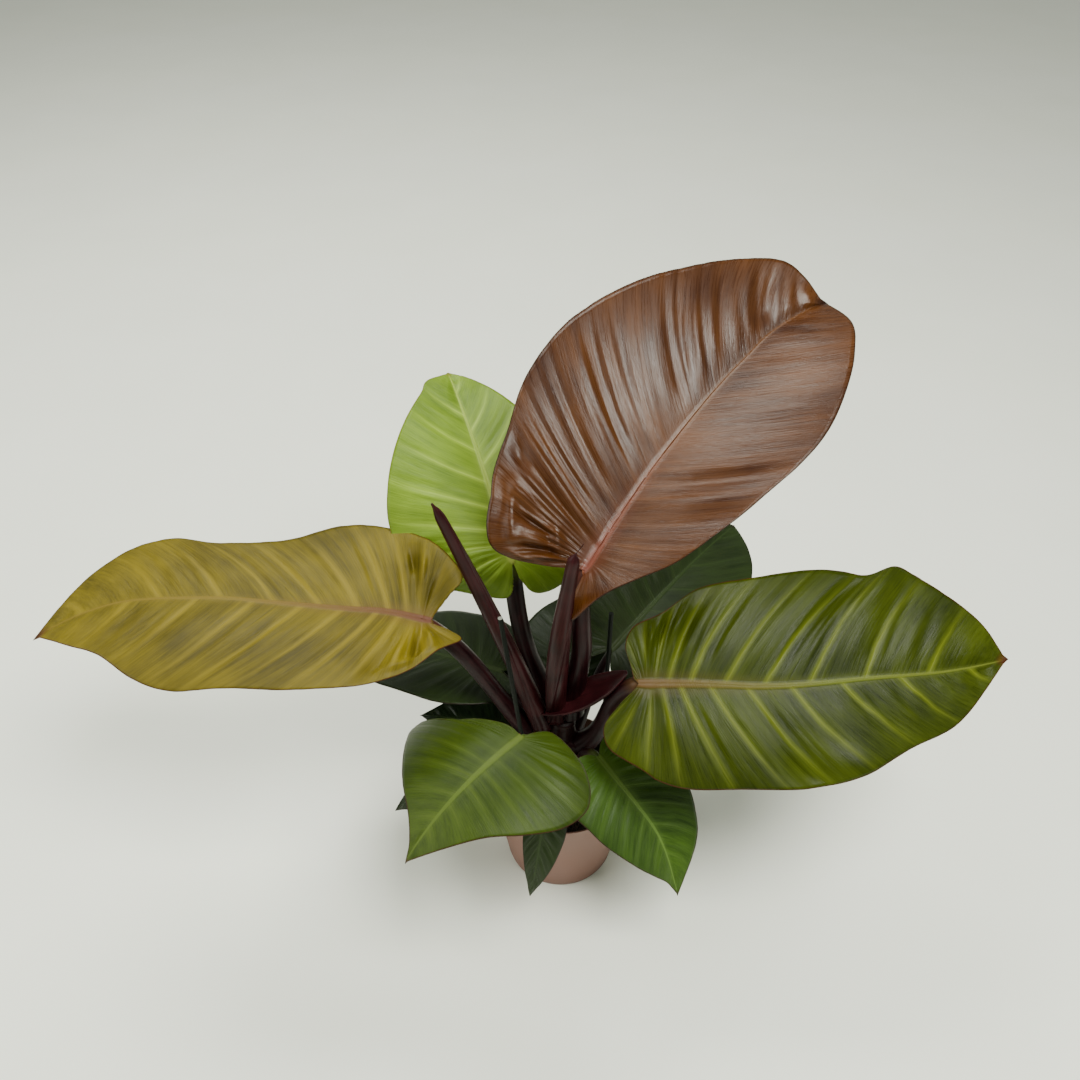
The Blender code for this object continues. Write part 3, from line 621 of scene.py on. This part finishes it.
def build_blade(leaf):
    skin = SKINS.get(leaf.name, DEEP_GREEN)
    stations, middle = LONG_GRID if leaf.length > LONG_LEAF else SHORT_GRID
    steps = (np.arange(1, middle + 1) / middle) ** 1.5
    columns = np.concatenate((-steps[::-1], [0.0], steps))
    rows = np.linspace(0.0, 0.992, stations)
    along, across = blade_grid(leaf, rows, columns)
    place = bent(leaf, along, across)
    count = len(columns)

    # Lengths along each vein, in metres, from the midrib and from the margin.
    leg = np.linalg.norm(np.diff(place, axis=1), axis=2)
    travelled = np.concatenate((np.zeros((len(rows), 1)), np.cumsum(leg, axis=1)), axis=1)
    from_rib = np.abs(travelled - travelled[:, middle:middle + 1])
    from_margin = np.minimum(travelled, travelled[:, -1:] - travelled)
    reach = np.abs(columns)[None, :] + 0 * along
    side = np.sign(columns)[None, :]
    lateral = skin.laterals * rows[:, None] + np.where(side > 0, 0.0, 0.42)
    apart = np.linalg.norm(np.gradient(place, axis=0), axis=2)
    apart = apart / (skin.laterals * (rows[1] - rows[0]))

    # The midrib is as thick as its stalk at the base and runs out at the tip.
    origin = np.clip(flowing(rows, VEINS, VEIN_ORIGINS), 0.0, 1.0)[:, None]
    rib_radius = 0.72 * leaf.stalk_radius * (1.0 - origin) ** 0.9 + 0.0004
    rib_share = from_rib / rib_radius
    crown = np.sqrt(np.clip(1.0 - rib_share**2, 0.0, 1.0))

    # Pleats stand between the side veins, and the margin undulates.
    pillow = np.abs(np.sin(math.pi * lateral)) ** 0.8 - 0.6
    pillow = pillow + 0.5 * np.sin(0.97 * math.pi * lateral + len(leaf.name))
    for share, pace, drift, slant in ((0.30, 1.9, 0.30, 0.5), (0.20, 3.1, 0.40, 0.9)):
        phase = pace * lateral + drift * np.sin(pace * lateral) + slant * reach
        pillow = pillow + share * np.sin(2.0 * math.pi * phase)
    rise = smoothstep((reach - 0.06) / 0.3) * (1.0 - 0.7 * smoothstep((reach - 0.6) / 0.4))
    rise = rise * (0.1 + 0.9 * smoothstep(rows[:, None] / 0.4))
    lift = 0.001 * np.where(side > 0, *skin.pleat) * pillow * rise
    turn = 2.0 * math.pi * rows[:, None]
    start = 1.7 * len(leaf.name) + np.where(side > 0, 0.0, 2.1)
    ripple = np.sin(2.6 * turn + start) + 0.5 * np.sin(5.3 * turn + 2.0 * start)
    lift = lift + 0.001 * skin.wave * ripple * reach**3 * np.sin(math.pi * rows[:, None]) ** 0.5

    for where, row, out, row_spread, spread, height in BUCKLES.get(leaf.name, ()):
        dent = np.exp(-(((rows[:, None] - row) / row_spread) ** 2) - ((reach - out) / spread) ** 2)
        lift = lift + 0.001 * height * dent * (side == where)

    ahead = np.gradient(place, axis=0)
    sideways = np.gradient(place, axis=1)
    upward = unit(np.cross(ahead, sideways))
    half = BLADE_HALF - BLADE_THINNING * reach
    above = lift + half + 0.20 * rib_radius * crown
    below = lift - half - 0.70 * rib_radius * crown
    tip_share = FORMS[leaf.name].left[-1][0]
    tip = bent(leaf, np.array([tip_share * leaf.length]), np.array([0.0]))
    top, bottom = ((place + lifted[..., None] * upward).reshape(-1, 3)
                   for lifted in (above, below))
    onward = unit(place[-1, middle] - place[-8, middle])
    tip = tip + 0.012 * leaf.length * (onward - 0.5 * upward[-1, middle])
    apex = TIP_HALF * upward[-1, middle]
    points = np.concatenate((top, tip + apex, bottom, tip - apex))
    tip_at, under = len(top), len(top) + 1

    def field(values, tip_value):
        flat = np.append((values + 0 * along).ravel(), tip_value)
        return np.concatenate((flat, flat))

    beneath = np.concatenate((np.zeros(under), np.ones(under)))
    fields = {
        "lay": np.stack((field(lateral, skin.laterals), field(reach, 0.0),
                         field(1000.0 * apart, 1.0)), axis=1),
        "edge": np.stack((field(rib_share, 0.0), field(1000.0 * from_margin, 0.0),
                          beneath), axis=1),
        "along": field(origin, 1.0),
    }
    faces = []
    last = (stations - 1) * count
    for row in range(0, last, count):
        for corner in range(row, row + count - 1):
            quad = (corner, corner + count, corner + count + 1, corner + 1)
            faces.append(quad)
            faces.append(tuple(under + index for index in reversed(quad)))
    for column in range(count - 1):
        faces.append((last + column, tip_at, last + column + 1))
        faces.append((under + last + column + 1, under + tip_at, under + last + column))
    rim = [*range(0, last + 1, count), tip_at]
    rim += [*range(last + count - 1, 0, -count), *range(count - 2, 0, -1)]
    for here, following in zip(rim, rim[1:] + rim[:1]):
        faces.append((following, here, under + here, under + following))
    name = f"leaf_{leaf.name}_blade"
    mesh = make_mesh(name, points, faces, [blade_material(leaf, skin)], fields)
    place_piece(f"{leaf.name}_leaf_blade", mesh, name, name)


# ----------------------------------------------------------------------- stalks

def node_place(height, angle, radius):
    """Centre of a round foot seated on the stem, and the way it leaves."""
    outward = np.array((math.cos(math.radians(angle)), math.sin(math.radians(angle)), 0.0))
    if height < STEM_TOP - 1e-4:
        share = height / STEM_TOP
        reach = STEM_FOOT_RADIUS + (STEM_TOP_RADIUS - STEM_FOOT_RADIUS) * min(share, 1.0)
        return above_soil(outward * (reach + radius + GAP) + (0.0, 0.0, height)), outward
    return above_soil(outward * CROWN_OFFSET + (0.0, 0.0, height + GAP + radius)), outward * 0.0


def maroon_material(name, deep, light, blush, roughness):
    """Living maroon skin: near black, satin, finely ribbed lengthwise, paler where
    it meets the blade."""
    material, tree, shader = surface(name, IOR=1.45, Specular_IOR_Level=0.18)
    along, around = (add(tree, "Attribute", attribute_name=field, out=2)
                     for field in ("along", "around"))
    thread_at = add(tree, "CombineXYZ", {
        0: add(tree, "Math", {0: around, 1: 26.0}, operation="MULTIPLY"),
        1: add(tree, "Math", {0: along, 1: 5.0}, operation="MULTIPLY")})
    threads = add(tree, "TexNoise", {"Vector": thread_at, "Scale": 1.0, "Detail": 3.0})
    clouds = add(tree, "TexNoise", {
        "Vector": add(tree, "TexCoord", out=3), "Scale": 60.0, "Detail": 3.0})
    blend = add(tree, "Math", {0: threads, 1: clouds}, operation="MULTIPLY")
    blend = add(tree, "MapRange", {0: blend, 1: 0.12, 2: 0.45})
    near_blade = add(tree, "MapRange", {0: along, 1: 0.86, 2: 1.0, 3: 0.0, 4: 0.7},
                     interpolation_type="SMOOTHSTEP")
    colour = deep
    for cover, tint in ((blend, light), (near_blade, blush)):
        colour = add(tree, "Mix", {0: cover, 6: colour, 7: tint}, out=2, data_type="RGBA")
    wire(shader, {
        "Base Color": colour,
        "Roughness": add(tree, "MapRange", {
            0: threads, 1: 0.3, 2: 0.7, 3: roughness - 0.06, 4: roughness + 0.08}),
        "Normal": add(tree, "Bump", {"Height": threads, "Strength": 0.3, "Distance": 0.0004})})
    return material


def stalk_tree():
    """Sweeps a round, channelled section along a path, thick at the foot."""
    tree, way_in, way_out = new_tree(
        "leaf_stalk", Foot_radius=("Float", 0.005), End_radius=("Float", 0.003),
        Channel_depth=("Float", 0.18), Channel_turn=("Float", 0.0), Sides=("Int", 28),
        Skin=("Material", None))
    given = way_in.outputs
    curve = add(tree, "MeshToCurve", {"Mesh": given["Geometry"]})
    share = add(tree, "SplineParameter")
    curve = add(tree, "StoreNamedAttribute", {
        "Geometry": curve, "Name": "along", "Value": share}, data_type="FLOAT", domain="POINT")
    # The lower part flares into the sheath that clasps the stem.
    flare = add(tree, "MapRange", {0: share, 1: 0.0, 2: 0.45, 3: 1.45, 4: 1.0},
                interpolation_type="SMOOTHSTEP")
    radius = add(tree, "MapRange", {
        0: share, 1: 0.0, 2: 1.0, 3: given["Foot radius"], 4: given["End radius"]})
    radius = add(tree, "Math", {0: radius, 1: flare}, operation="MULTIPLY")
    curve = add(tree, "SetCurveTilt", {"Curve": curve, "Tilt": given["Channel turn"]})
    section = add(tree, "CurvePrimitiveCircle", {
        "Resolution": given["Sides"], "Radius": 1.0}, mode="RADIUS")
    turn = add(tree, "SplineParameter")
    section = add(tree, "StoreNamedAttribute", {
        "Geometry": section, "Name": "around", "Value": turn}, data_type="FLOAT", domain="POINT")
    # The channel is a dip on one side, deepest at a quarter of the way round.
    off = add(tree, "Math", {0: turn, 1: 0.25}, operation="SUBTRACT")
    off = add(tree, "Math", {0: off}, operation="ABSOLUTE")
    dip = add(tree, "MapRange", {0: off, 1: 0.0, 2: 0.17, 3: given["Channel depth"], 4: 0.0},
              interpolation_type="SMOOTHSTEP")
    keep = add(tree, "Math", {0: 1.0, 1: dip}, operation="SUBTRACT")
    at = add(tree, "InputPosition")
    section = add(tree, "SetPosition", {
        "Geometry": section,
        "Position": add(tree, "VectorMath", {0: at, "Scale": keep}, operation="SCALE")})
    swept = add(tree, "CurveToMesh", {
        "Curve": curve, "Profile Curve": section, "Scale": radius, "Fill Caps": True})
    swept = add(tree, "SetShadeSmooth", {"Geometry": swept, "Shade Smooth": True})
    swept = add(tree, "RealizeInstances", {"Geometry": swept})
    wire(way_out, {0: add(tree, "SetMaterial", {
        "Geometry": swept, "Material": given["Skin"]})})
    return tree


def build_stalk(leaf, tree, material):
    share, _, ahead, _, up = midrib(leaf)
    start = np.argmin(np.abs(share))
    ahead, up = ahead[start], up[start]
    stout = STOUT.get(leaf.name, 1.0)
    end_radius = 1.05 * stout * leaf.stalk_radius
    foot_radius = 1.60 * leaf.stalk_radius
    foot, outward = node_place(leaf.node_height, leaf.node_angle, 1.15 * leaf.stalk_radius)
    end = above_soil(leaf.base) - 0.92 * end_radius * up + 0.2 * end_radius * ahead
    leave = unit(outward + (0.0, 0.0, 1.1))
    arrive = unit(0.75 * ahead + 0.6 * up)
    reach = np.linalg.norm(end - foot)
    path = bezier(foot, foot + 0.35 * reach * leave, end - 0.33 * reach * arrive, end,
                  STALK_STATIONS)
    swing = np.sin(math.pi * np.linspace(0.0, 1.0, STALK_STATIONS)) ** 2
    path = path + swing[:, None] * np.array(BOW.get(leaf.name, (0.0, 0.0, 0.0)))
    sunk = foot - 1.2 * foot_radius * outward - (0.0, 0.0, 0.4 * foot_radius)
    path = np.concatenate(([sunk], path, [end + 0.6 * end_radius * ahead - 0.4 * end_radius * up]))
    name = f"leaf_{leaf.name}_stalk"
    line = bpy.data.meshes.new(name)
    line.from_pydata(path.tolist(), [(i, i + 1) for i in range(len(path) - 1)], [])
    mesh = grown(name, line, tree, {
        "Foot radius": foot_radius, "End radius": end_radius, "Skin": material})
    place_piece(f"{leaf.name}_leaf_stalk", mesh, name, name)


# ------------------------------------------- furled leaves, sheaths, stem, stakes

def ring_quads(rings, count):
    """The quads between rings of this many points each."""
    for ring in range(0, (rings - 1) * count, count):
        for side in range(count):
            following = (side + 1) % count
            yield (ring + side, ring + following,
                   ring + count + following, ring + count + side)


def build_spear(spear, material):
    """A rolled-up leaf: the outer edge laps over the roll and winds slowly round it."""
    foot, _ = node_place(spear.node_height, spear.node_angle, spear.foot_radius)
    bend, tip, point = (above_soil(p) for p in (spear.bend, spear.tip, spear.point))
    body = bezier(foot, 0.5 * (foot + bend), bend, tip, 70)
    beak = bezier(tip, tip + 0.3 * (tip - bend) * 0.25, 0.5 * (tip + point), point, 16)[1:]
    path = np.concatenate(([foot - (0, 0, 0.6 * spear.foot_radius)], body, beak))
    share = np.linspace(0.0, 1.0, len(path))
    radii = 0.001 * flowing(share, SPEAR_SHARES, spear.radii)
    tangents = unit(np.gradient(path, axis=0))
    side = unit(np.cross(tangents[0], (0.3, 0.9, 0.1)))
    sides = 40
    lap = np.linspace(0.0, 1.0, sides)
    points, around, along = [], [], []
    for number, (place, tangent, radius) in enumerate(zip(path, tangents, radii)):
        side = unit(side - tangent * np.dot(side, tangent))
        across = np.cross(tangent, side)
        start = 1.2 + 2.2 * share[number]
        for step in lap:
            angle = start + 2.0 * math.pi * step
            reach = radius * (0.88 + 0.12 * step + 0.02 * math.sin(3 * angle))
            points.append(place + reach * (math.cos(angle) * side + math.sin(angle) * across))
            around.append(step)
            along.append(share[number])
    faces = [*ring_quads(len(path), sides), tuple(reversed(range(sides))),
             tuple(range((len(path) - 1) * sides, len(path) * sides))]
    mesh = make_mesh(spear.name, points, faces, [material], {"along": along, "around": around})
    place_piece(f"{spear.name}_roll", mesh, spear.name, spear.name)


def build_sheath(sheath, material):
    foot, _ = node_place(sheath.node_height, sheath.node_angle, sheath.stand_off)
    # The scale's own foot clasps the stem, further round than its solid.
    clasp = np.array(SHEATH_CLASP)
    foot, reach = foot - clasp, np.array(sheath.reach) + clasp
    along = unit(reach)
    side = unit(np.cross(along, (0.0, 0.0, 1.0)))
    up = np.cross(side, along)
    angles = np.radians(np.linspace(-SHEATH_WRAP, SHEATH_WRAP, 29))
    points, around, distance = [], [], []
    shares = np.linspace(0.0, 1.0, 50)
    for share in shares:
        swell = math.sin(math.pi * (0.14 + 0.84 * share)) ** 0.7
        wide, deep = sheath.half_width * swell, sheath.depth * swell
        middle = foot + share * reach - 0.3 * deep * up
        for wall, order in ((0.0, angles), (SHEATH_WALL, angles[::-1])):
            for a in order:
                k = 1.0 + 0.06 * math.exp(-((a / 0.25) ** 2)) * (wall == 0.0)
                points.append(middle + (wide - wall) * math.sin(a) * side
                              - (deep * k - wall) * math.cos(a) * up)
                around.append(abs(a) / angles[-1])
                distance.append(0.8 * share)
    count = 2 * len(angles)
    faces = [(a, d, c, b) for a, b, c, d in ring_quads(len(shares), count)]
    top = (len(shares) - 1) * count
    for corner in range(len(angles) - 1):
        partner = count - 1 - corner
        faces.append((corner, corner + 1, partner - 1, partner))
        faces.append((top + partner, top + partner - 1, top + corner + 1, top + corner))
    mesh = make_mesh(sheath.name, points, faces, [material],
                     {"along": distance, "around": around})
    place_piece(f"{sheath.name}_scale", mesh, sheath.name, sheath.name)


def lofted(rings, first, last):
    """Closed skin over rings of equal count, with an end point at each end."""
    count = len(rings[0])
    points = [point for ring in rings for point in ring] + [first, last]
    faces = list(ring_quads(len(rings), count))
    top = (len(rings) - 1) * count
    for side in range(count):
        following = (side + 1) % count
        faces.append((following, side, len(points) - 2))
        faces.append((top + side, top + following, len(points) - 1))
    return points, faces


def turned(profile, sides):
    angles = np.arange(sides) * 2.0 * math.pi / sides
    return [[(radius * math.cos(a), radius * math.sin(a), height) for a in angles]
            for radius, height in profile]


def build_stem(material):
    """A short stem ringed by the scars of its leaf bases."""
    heights = np.linspace(-0.019, STEM_TOP - 0.003, 120)
    rings = []
    for height in heights:
        share = min(max(height / STEM_TOP, 0.0), 1.0)
        ring = []
        for angle in turns(64):
            radius = STEM_FOOT_RADIUS + (STEM_TOP_RADIUS - STEM_FOOT_RADIUS) * share
            for leaf in LEAVES:
                facing = math.cos(angle - math.radians(leaf.node_angle))
                gap = height - leaf.node_height + 0.004 - 0.002 * facing
                radius += SCAR_RISE * math.exp(-((gap / SCAR_WIDTH) ** 2)) * (0.7 + 0.3 * facing)
            ring.append((radius * math.cos(angle), radius * math.sin(angle), SOIL_LEVEL + height))
        rings.append(ring)
    top = above_soil((0, 0, STEM_TOP))
    for scale, drop in ((0.9, 0.0012), (0.6, 0.0003)):
        rings.append([(scale * x, scale * y, top[2] - drop)
                      for x, y, _ in rings[len(heights) - 1]])
    points, faces = lofted(rings, above_soil((0, 0, -0.021)), top)
    along = [(p[2] - SOIL_LEVEL) / STEM_TOP * 0.8 for p in points]
    around = [math.atan2(p[1], p[0]) / math.pi for p in points]
    mesh = make_mesh("stem", points, faces, [material], {"along": along, "around": around})
    place_piece("stem_with_scars", mesh, "stem", "stem")


def build_stake(stake, dyed, cut_end):
    """A split cane: eight rough flats, dyed, with a pale sawn top."""
    foot, top = above_soil(stake.foot), above_soil(stake.top)
    top = top + STAKE_RADIUS * unit(top - foot)
    along = unit(top - foot)
    side = unit(np.cross(along, (0.2, 1.0, 0.0)))
    across = np.cross(along, side)
    sides, rings = 24, []
    shares = np.linspace(0.0, 1.0, 90)
    for share in shares:
        ring = []
        for angle in turns(sides):
            rough = 0.05 * math.cos(7 * angle + 1.0) + 0.02 * math.sin(40 * share + 3 * angle)
            radius = STAKE_RADIUS * (0.95 + rough)
            ring.append(foot + share * (top - foot)
                        + radius * (math.cos(angle) * side + math.sin(angle) * across))
        rings.append(ring)
    points, faces = lofted(rings, foot, top)
    slots = [int(len(points) - 1 in face) for face in faces]
    mesh = make_mesh(stake.name, points, faces, [dyed, cut_end], face_slots=slots)
    mesh.set_sharp_from_angle(angle=math.radians(50))
    place_piece(f"{stake.name}_cane", mesh, stake.name, stake.name)


def cane_material(name, deep, light):
    """Split bamboo cane: fibres run up it and show as fine pale streaks under the dye."""
    material, tree, shader = surface(name, Specular_IOR_Level=0.15)
    stretch = add(tree, "Mapping", {
        "Vector": add(tree, "TexCoord", out=3), "Scale": (1400.0, 1400.0, 30.0)})
    fibres = add(tree, "TexNoise", {"Vector": stretch, "Scale": 1.0, "Detail": 3.0})
    wire(shader, {
        "Base Color": add(tree, "Mix", {0: fibres, 6: deep, 7: light}, out=2,
                          data_type="RGBA"),
        "Roughness": add(tree, "MapRange", {0: fibres, 3: 0.5, 4: 0.75}),
        "Normal": add(tree, "Bump", {"Height": fibres, "Strength": 0.5, "Distance": 0.0003})})
    return material


# ------------------------------------------------------------------ pot and soil

def pot_radius(height):
    return POT_BASE_RADIUS + (POT_RIM_RADIUS - POT_BASE_RADIUS) * height / POT_HEIGHT


def pot_material():
    """Polypropylene, injection moulded with a fine spark-eroded grain: the eye sees a
    dull terracotta skin with a soft sheen, faint mould rings and dust near the foot."""
    material, tree, shader = surface("moulded_polypropylene_terracotta", IOR=1.49)
    at = add(tree, "TexCoord", out=3)
    height = add(tree, "SeparateXYZ", {0: at}, out=2)
    # Grain of about 0.4 mm, coarser than the real 0.1 mm so that it shows.
    clouds, grain, specks = (
        add(tree, "TexNoise", {"Vector": at, "Scale": scale, "Detail": detail})
        for scale, detail in ((30.0, 4.0), (2400.0, 1.0), (420.0, 3.0)))
    dust = add(tree, "MapRange", {0: height, 1: 0.0, 2: 0.02, 3: 0.5, 4: 0.05})
    specks = add(tree, "MapRange", {0: specks, 1: 0.62, 2: 0.72})
    dust = add(tree, "Math", {0: dust, 1: specks}, operation="MULTIPLY")
    colour = "#765145"
    for cover, tint in ((clouds, "#845F52"), (dust, "#3A2A20")):
        colour = add(tree, "Mix", {0: cover, 6: colour, 7: tint}, out=2, data_type="RGBA")
    rings = add(tree, "Math", {0: height, 1: 900.0}, operation="MULTIPLY")
    rings = add(tree, "Math", {0: rings}, operation="SINE")
    relief = add(tree, "Math", {0: rings, 1: 0.12, 2: grain}, operation="MULTIPLY_ADD")
    wire(shader, {
        "Base Color": colour,
        "Roughness": add(tree, "MapRange", {0: clouds, 1: 0.3, 2: 0.7, 3: 0.5, 4: 0.62}),
        "Normal": add(tree, "Bump", {"Height": relief, "Strength": 0.25, "Distance": 0.0002})})
    return material


def build_pot(material):
    wall, lip = POT_WALL, 0.0006
    foot, rim, top = POT_BASE_RADIUS, POT_RIM_RADIUS, POT_HEIGHT
    profile = [(0.018, 0.0), (0.042, 0.0), (foot - 0.0016, 0.0), (foot - 0.0005, 0.0004),
               (foot, 0.0016)]
    profile += [(pot_radius(h), h) for h in np.linspace(0.006, top - 0.0014, 24)]
    profile += [(rim, top - 0.0008), (rim - 0.0001, top - 0.0003), (rim - 0.0005, top),
                (rim - wall + 0.0003, top - 0.0001)]
    profile += [(pot_radius(h) - wall, h) for h in np.linspace(top - lip, POT_FLOOR, 20)]
    profile += [(0.042, POT_FLOOR), (0.018, POT_FLOOR)]
    points, faces = lofted(turned(profile, 144), (0, 0, 0), (0, 0, POT_FLOOR))
    shell = show("pot_shell", make_mesh("pot", points, faces, [material]))
    cutters = []
    for number in range(DRAINS):
        angle = math.radians(DRAIN_TURN + 360.0 / DRAINS * number)
        centre = np.array((math.cos(angle), math.sin(angle), 0.0)) * DRAIN_RING
        rings = [[np.array(p) + centre for p in ring] for ring in turned(
            [(DRAIN_RADIUS, -POT_FLOOR), (DRAIN_RADIUS, 2 * POT_FLOOR)], 32)]
        cutter = show("drain", make_mesh("drain", *lofted(
            rings, centre - (0, 0, POT_FLOOR), centre + (0, 0, 2 * POT_FLOOR)), [material]))
        cutters.append(cutter)
        boolean = shell.modifiers.new(f"drain_{number}", "BOOLEAN")
        boolean.operation, boolean.solver, boolean.object = "DIFFERENCE", "EXACT", cutter
    finished = plain_mesh(shell)
    for helper in (shell, *cutters):
        bpy.data.objects.remove(helper)
    finished.shade_smooth()
    finished.set_sharp_from_angle(angle=math.radians(40))
    place_piece("pot_shell", finished, "pot", "pot")


def soil_top(radius, angle):
    uneven = math.sin(3 * angle + 0.4) + 0.6 * math.sin(5 * angle + 2.0)
    share = radius / POT_RIM_RADIUS
    return SOIL_LEVEL + SOIL_MOUND * (0.6 - share**2) + 0.0009 * uneven * share


def soil_material():
    """Moist peat mix: near black crumbs with brown fibre and the odd pale fleck."""
    material, tree, shader = surface("moist_peat", Roughness=0.92)
    at = add(tree, "TexCoord", out=3)
    crumbs = add(tree, "TexNoise", {"Vector": at, "Scale": 350.0, "Detail": 5.0})
    flecks = add(tree, "TexNoise", {"Vector": at, "Scale": 900.0, "Detail": 2.0})
    colour = "#1A120D"
    for pattern, low, high, tint in ((crumbs, 0.35, 0.7, "#46342A"),
                                     (flecks, 0.70, 0.76, "#7A6450")):
        colour = add(tree, "Mix", {
            0: add(tree, "MapRange", {0: pattern, 1: low, 2: high}),
            6: colour, 7: tint}, out=2, data_type="RGBA")
    wire(shader, {
        "Base Color": colour,
        "Normal": add(tree, "Bump", {"Height": crumbs, "Strength": 0.8, "Distance": 0.001})})
    return material


def crumb_tree():
    """Scatters peat crumbs of a few kinds over the soil's top."""
    tree, way_in, way_out = new_tree(
        "peat_crumbs", Crumbs_a_square_metre=("Float", 300000.0), Smallest=("Float", 0.0004),
        Largest=("Float", 0.0016), Seed=("Int", 7), Crumb_skin=("Material", None))
    given = way_in.outputs
    spots = add(tree, "DistributePointsOnFaces", {
        "Mesh": given["Geometry"], "Density": given["Crumbs a square metre"],
        "Seed": given["Seed"]})
    crumb = add(tree, "MeshIcoSphere", {"Radius": 1.0, "Subdivisions": 1})
    size, turn = (
        add(tree, "RandomValue", {
            "Min": (0.0,) * 3, "Max": (most,) * 3, "Seed": given["Seed"]},
            data_type="FLOAT_VECTOR")
        for most in (1.0, 6.28))
    size = add(tree, "VectorMath", {0: size, 1: size}, operation="MULTIPLY")
    span = add(tree, "Math", {0: given["Largest"], 1: given["Smallest"]}, operation="SUBTRACT")
    size = add(tree, "VectorMath", {0: size, "Scale": span}, operation="SCALE")
    least = add(tree, "CombineXYZ", {axis: given["Smallest"] for axis in range(3)})
    size = add(tree, "VectorMath", {0: size, 1: least}, operation="ADD")
    heap = add(tree, "InstanceOnPoints", {
        "Points": spots, "Instance": crumb, "Scale": size, "Rotation": turn})
    heap = add(tree, "RealizeInstances", {"Geometry": heap})
    wire(way_out, {0: add(tree, "SetMaterial", {
        "Geometry": heap, "Material": given["Crumb skin"]})})
    return tree


def build_soil(material):
    rng = np.random.default_rng(11)
    sides, shares = 160, np.linspace(0.995, 0.04, 46)
    floor = POT_FLOOR + GAP
    rings = turned([(pot_radius(floor) - POT_WALL - GAP, floor),
                    (pot_radius(SOIL_LEVEL) - POT_WALL - GAP, SOIL_LEVEL - 0.003)], sides)
    for share in shares:
        radius = share * (pot_radius(SOIL_LEVEL) - POT_WALL - GAP)
        ring = []
        for angle in turns(sides):
            rough = SOIL_ROUGH * rng.standard_normal() * min(1.0, 8 * (1.0 - share) + 0.3)
            ring.append((radius * math.cos(angle), radius * math.sin(angle),
                         soil_top(radius, angle) + rough))
        rings.append(ring)
    points, faces = lofted(rings, (0, 0, floor), (0, 0, soil_top(0.0, 0.0)))
    place_piece("soil_bed", make_mesh("soil", points, faces, [material]), "soil", "soil")
    points = [point for ring in rings[2:] for point in ring]
    bed = make_mesh("crumb_bed", points, list(ring_quads(len(shares), sides)), [material])
    crumbs = grown("crumbs", bed, crumb_tree(), {"Seed": 7, "Crumb skin": material})
    place_piece("soil_crumbs", crumbs, "soil")


def main():
    build_studio()
    for leaf in LEAVES:
        build_blade(leaf)
    tree = stalk_tree()
    for leaf in LEAVES:
        blush = SKINS.get(leaf.name, DEEP_GREEN).rib_base
        build_stalk(leaf, tree, maroon_material(
            f"living_stalk_{leaf.name}", "#110406", "#2A0D11", blush, 0.36))
    furled = maroon_material("living_furled_leaf_maroon", "#1E0709", "#361215", "#34180F", 0.36)
    for spear in SPEARS:
        build_spear(spear, furled)
    scale = maroon_material("living_bud_scale_maroon", "#1C0709", "#3A1418", "#5C2426", 0.38)
    for sheath in SHEATHS:
        build_sheath(sheath, scale)
    build_stem(maroon_material("living_stem_maroon", "#120606", "#2A1212", "#2A1410", 0.42))
    dyed = cane_material("dyed_bamboo_cane", "#050805", "#10160F")
    sawn = cane_material("sawn_bamboo_end", "#62645C", "#80827A")
    for stake, end in zip(STAKES, (sawn, dyed)):
        build_stake(stake, dyed, end)
    build_pot(pot_material())
    build_soil(soil_material())


main()
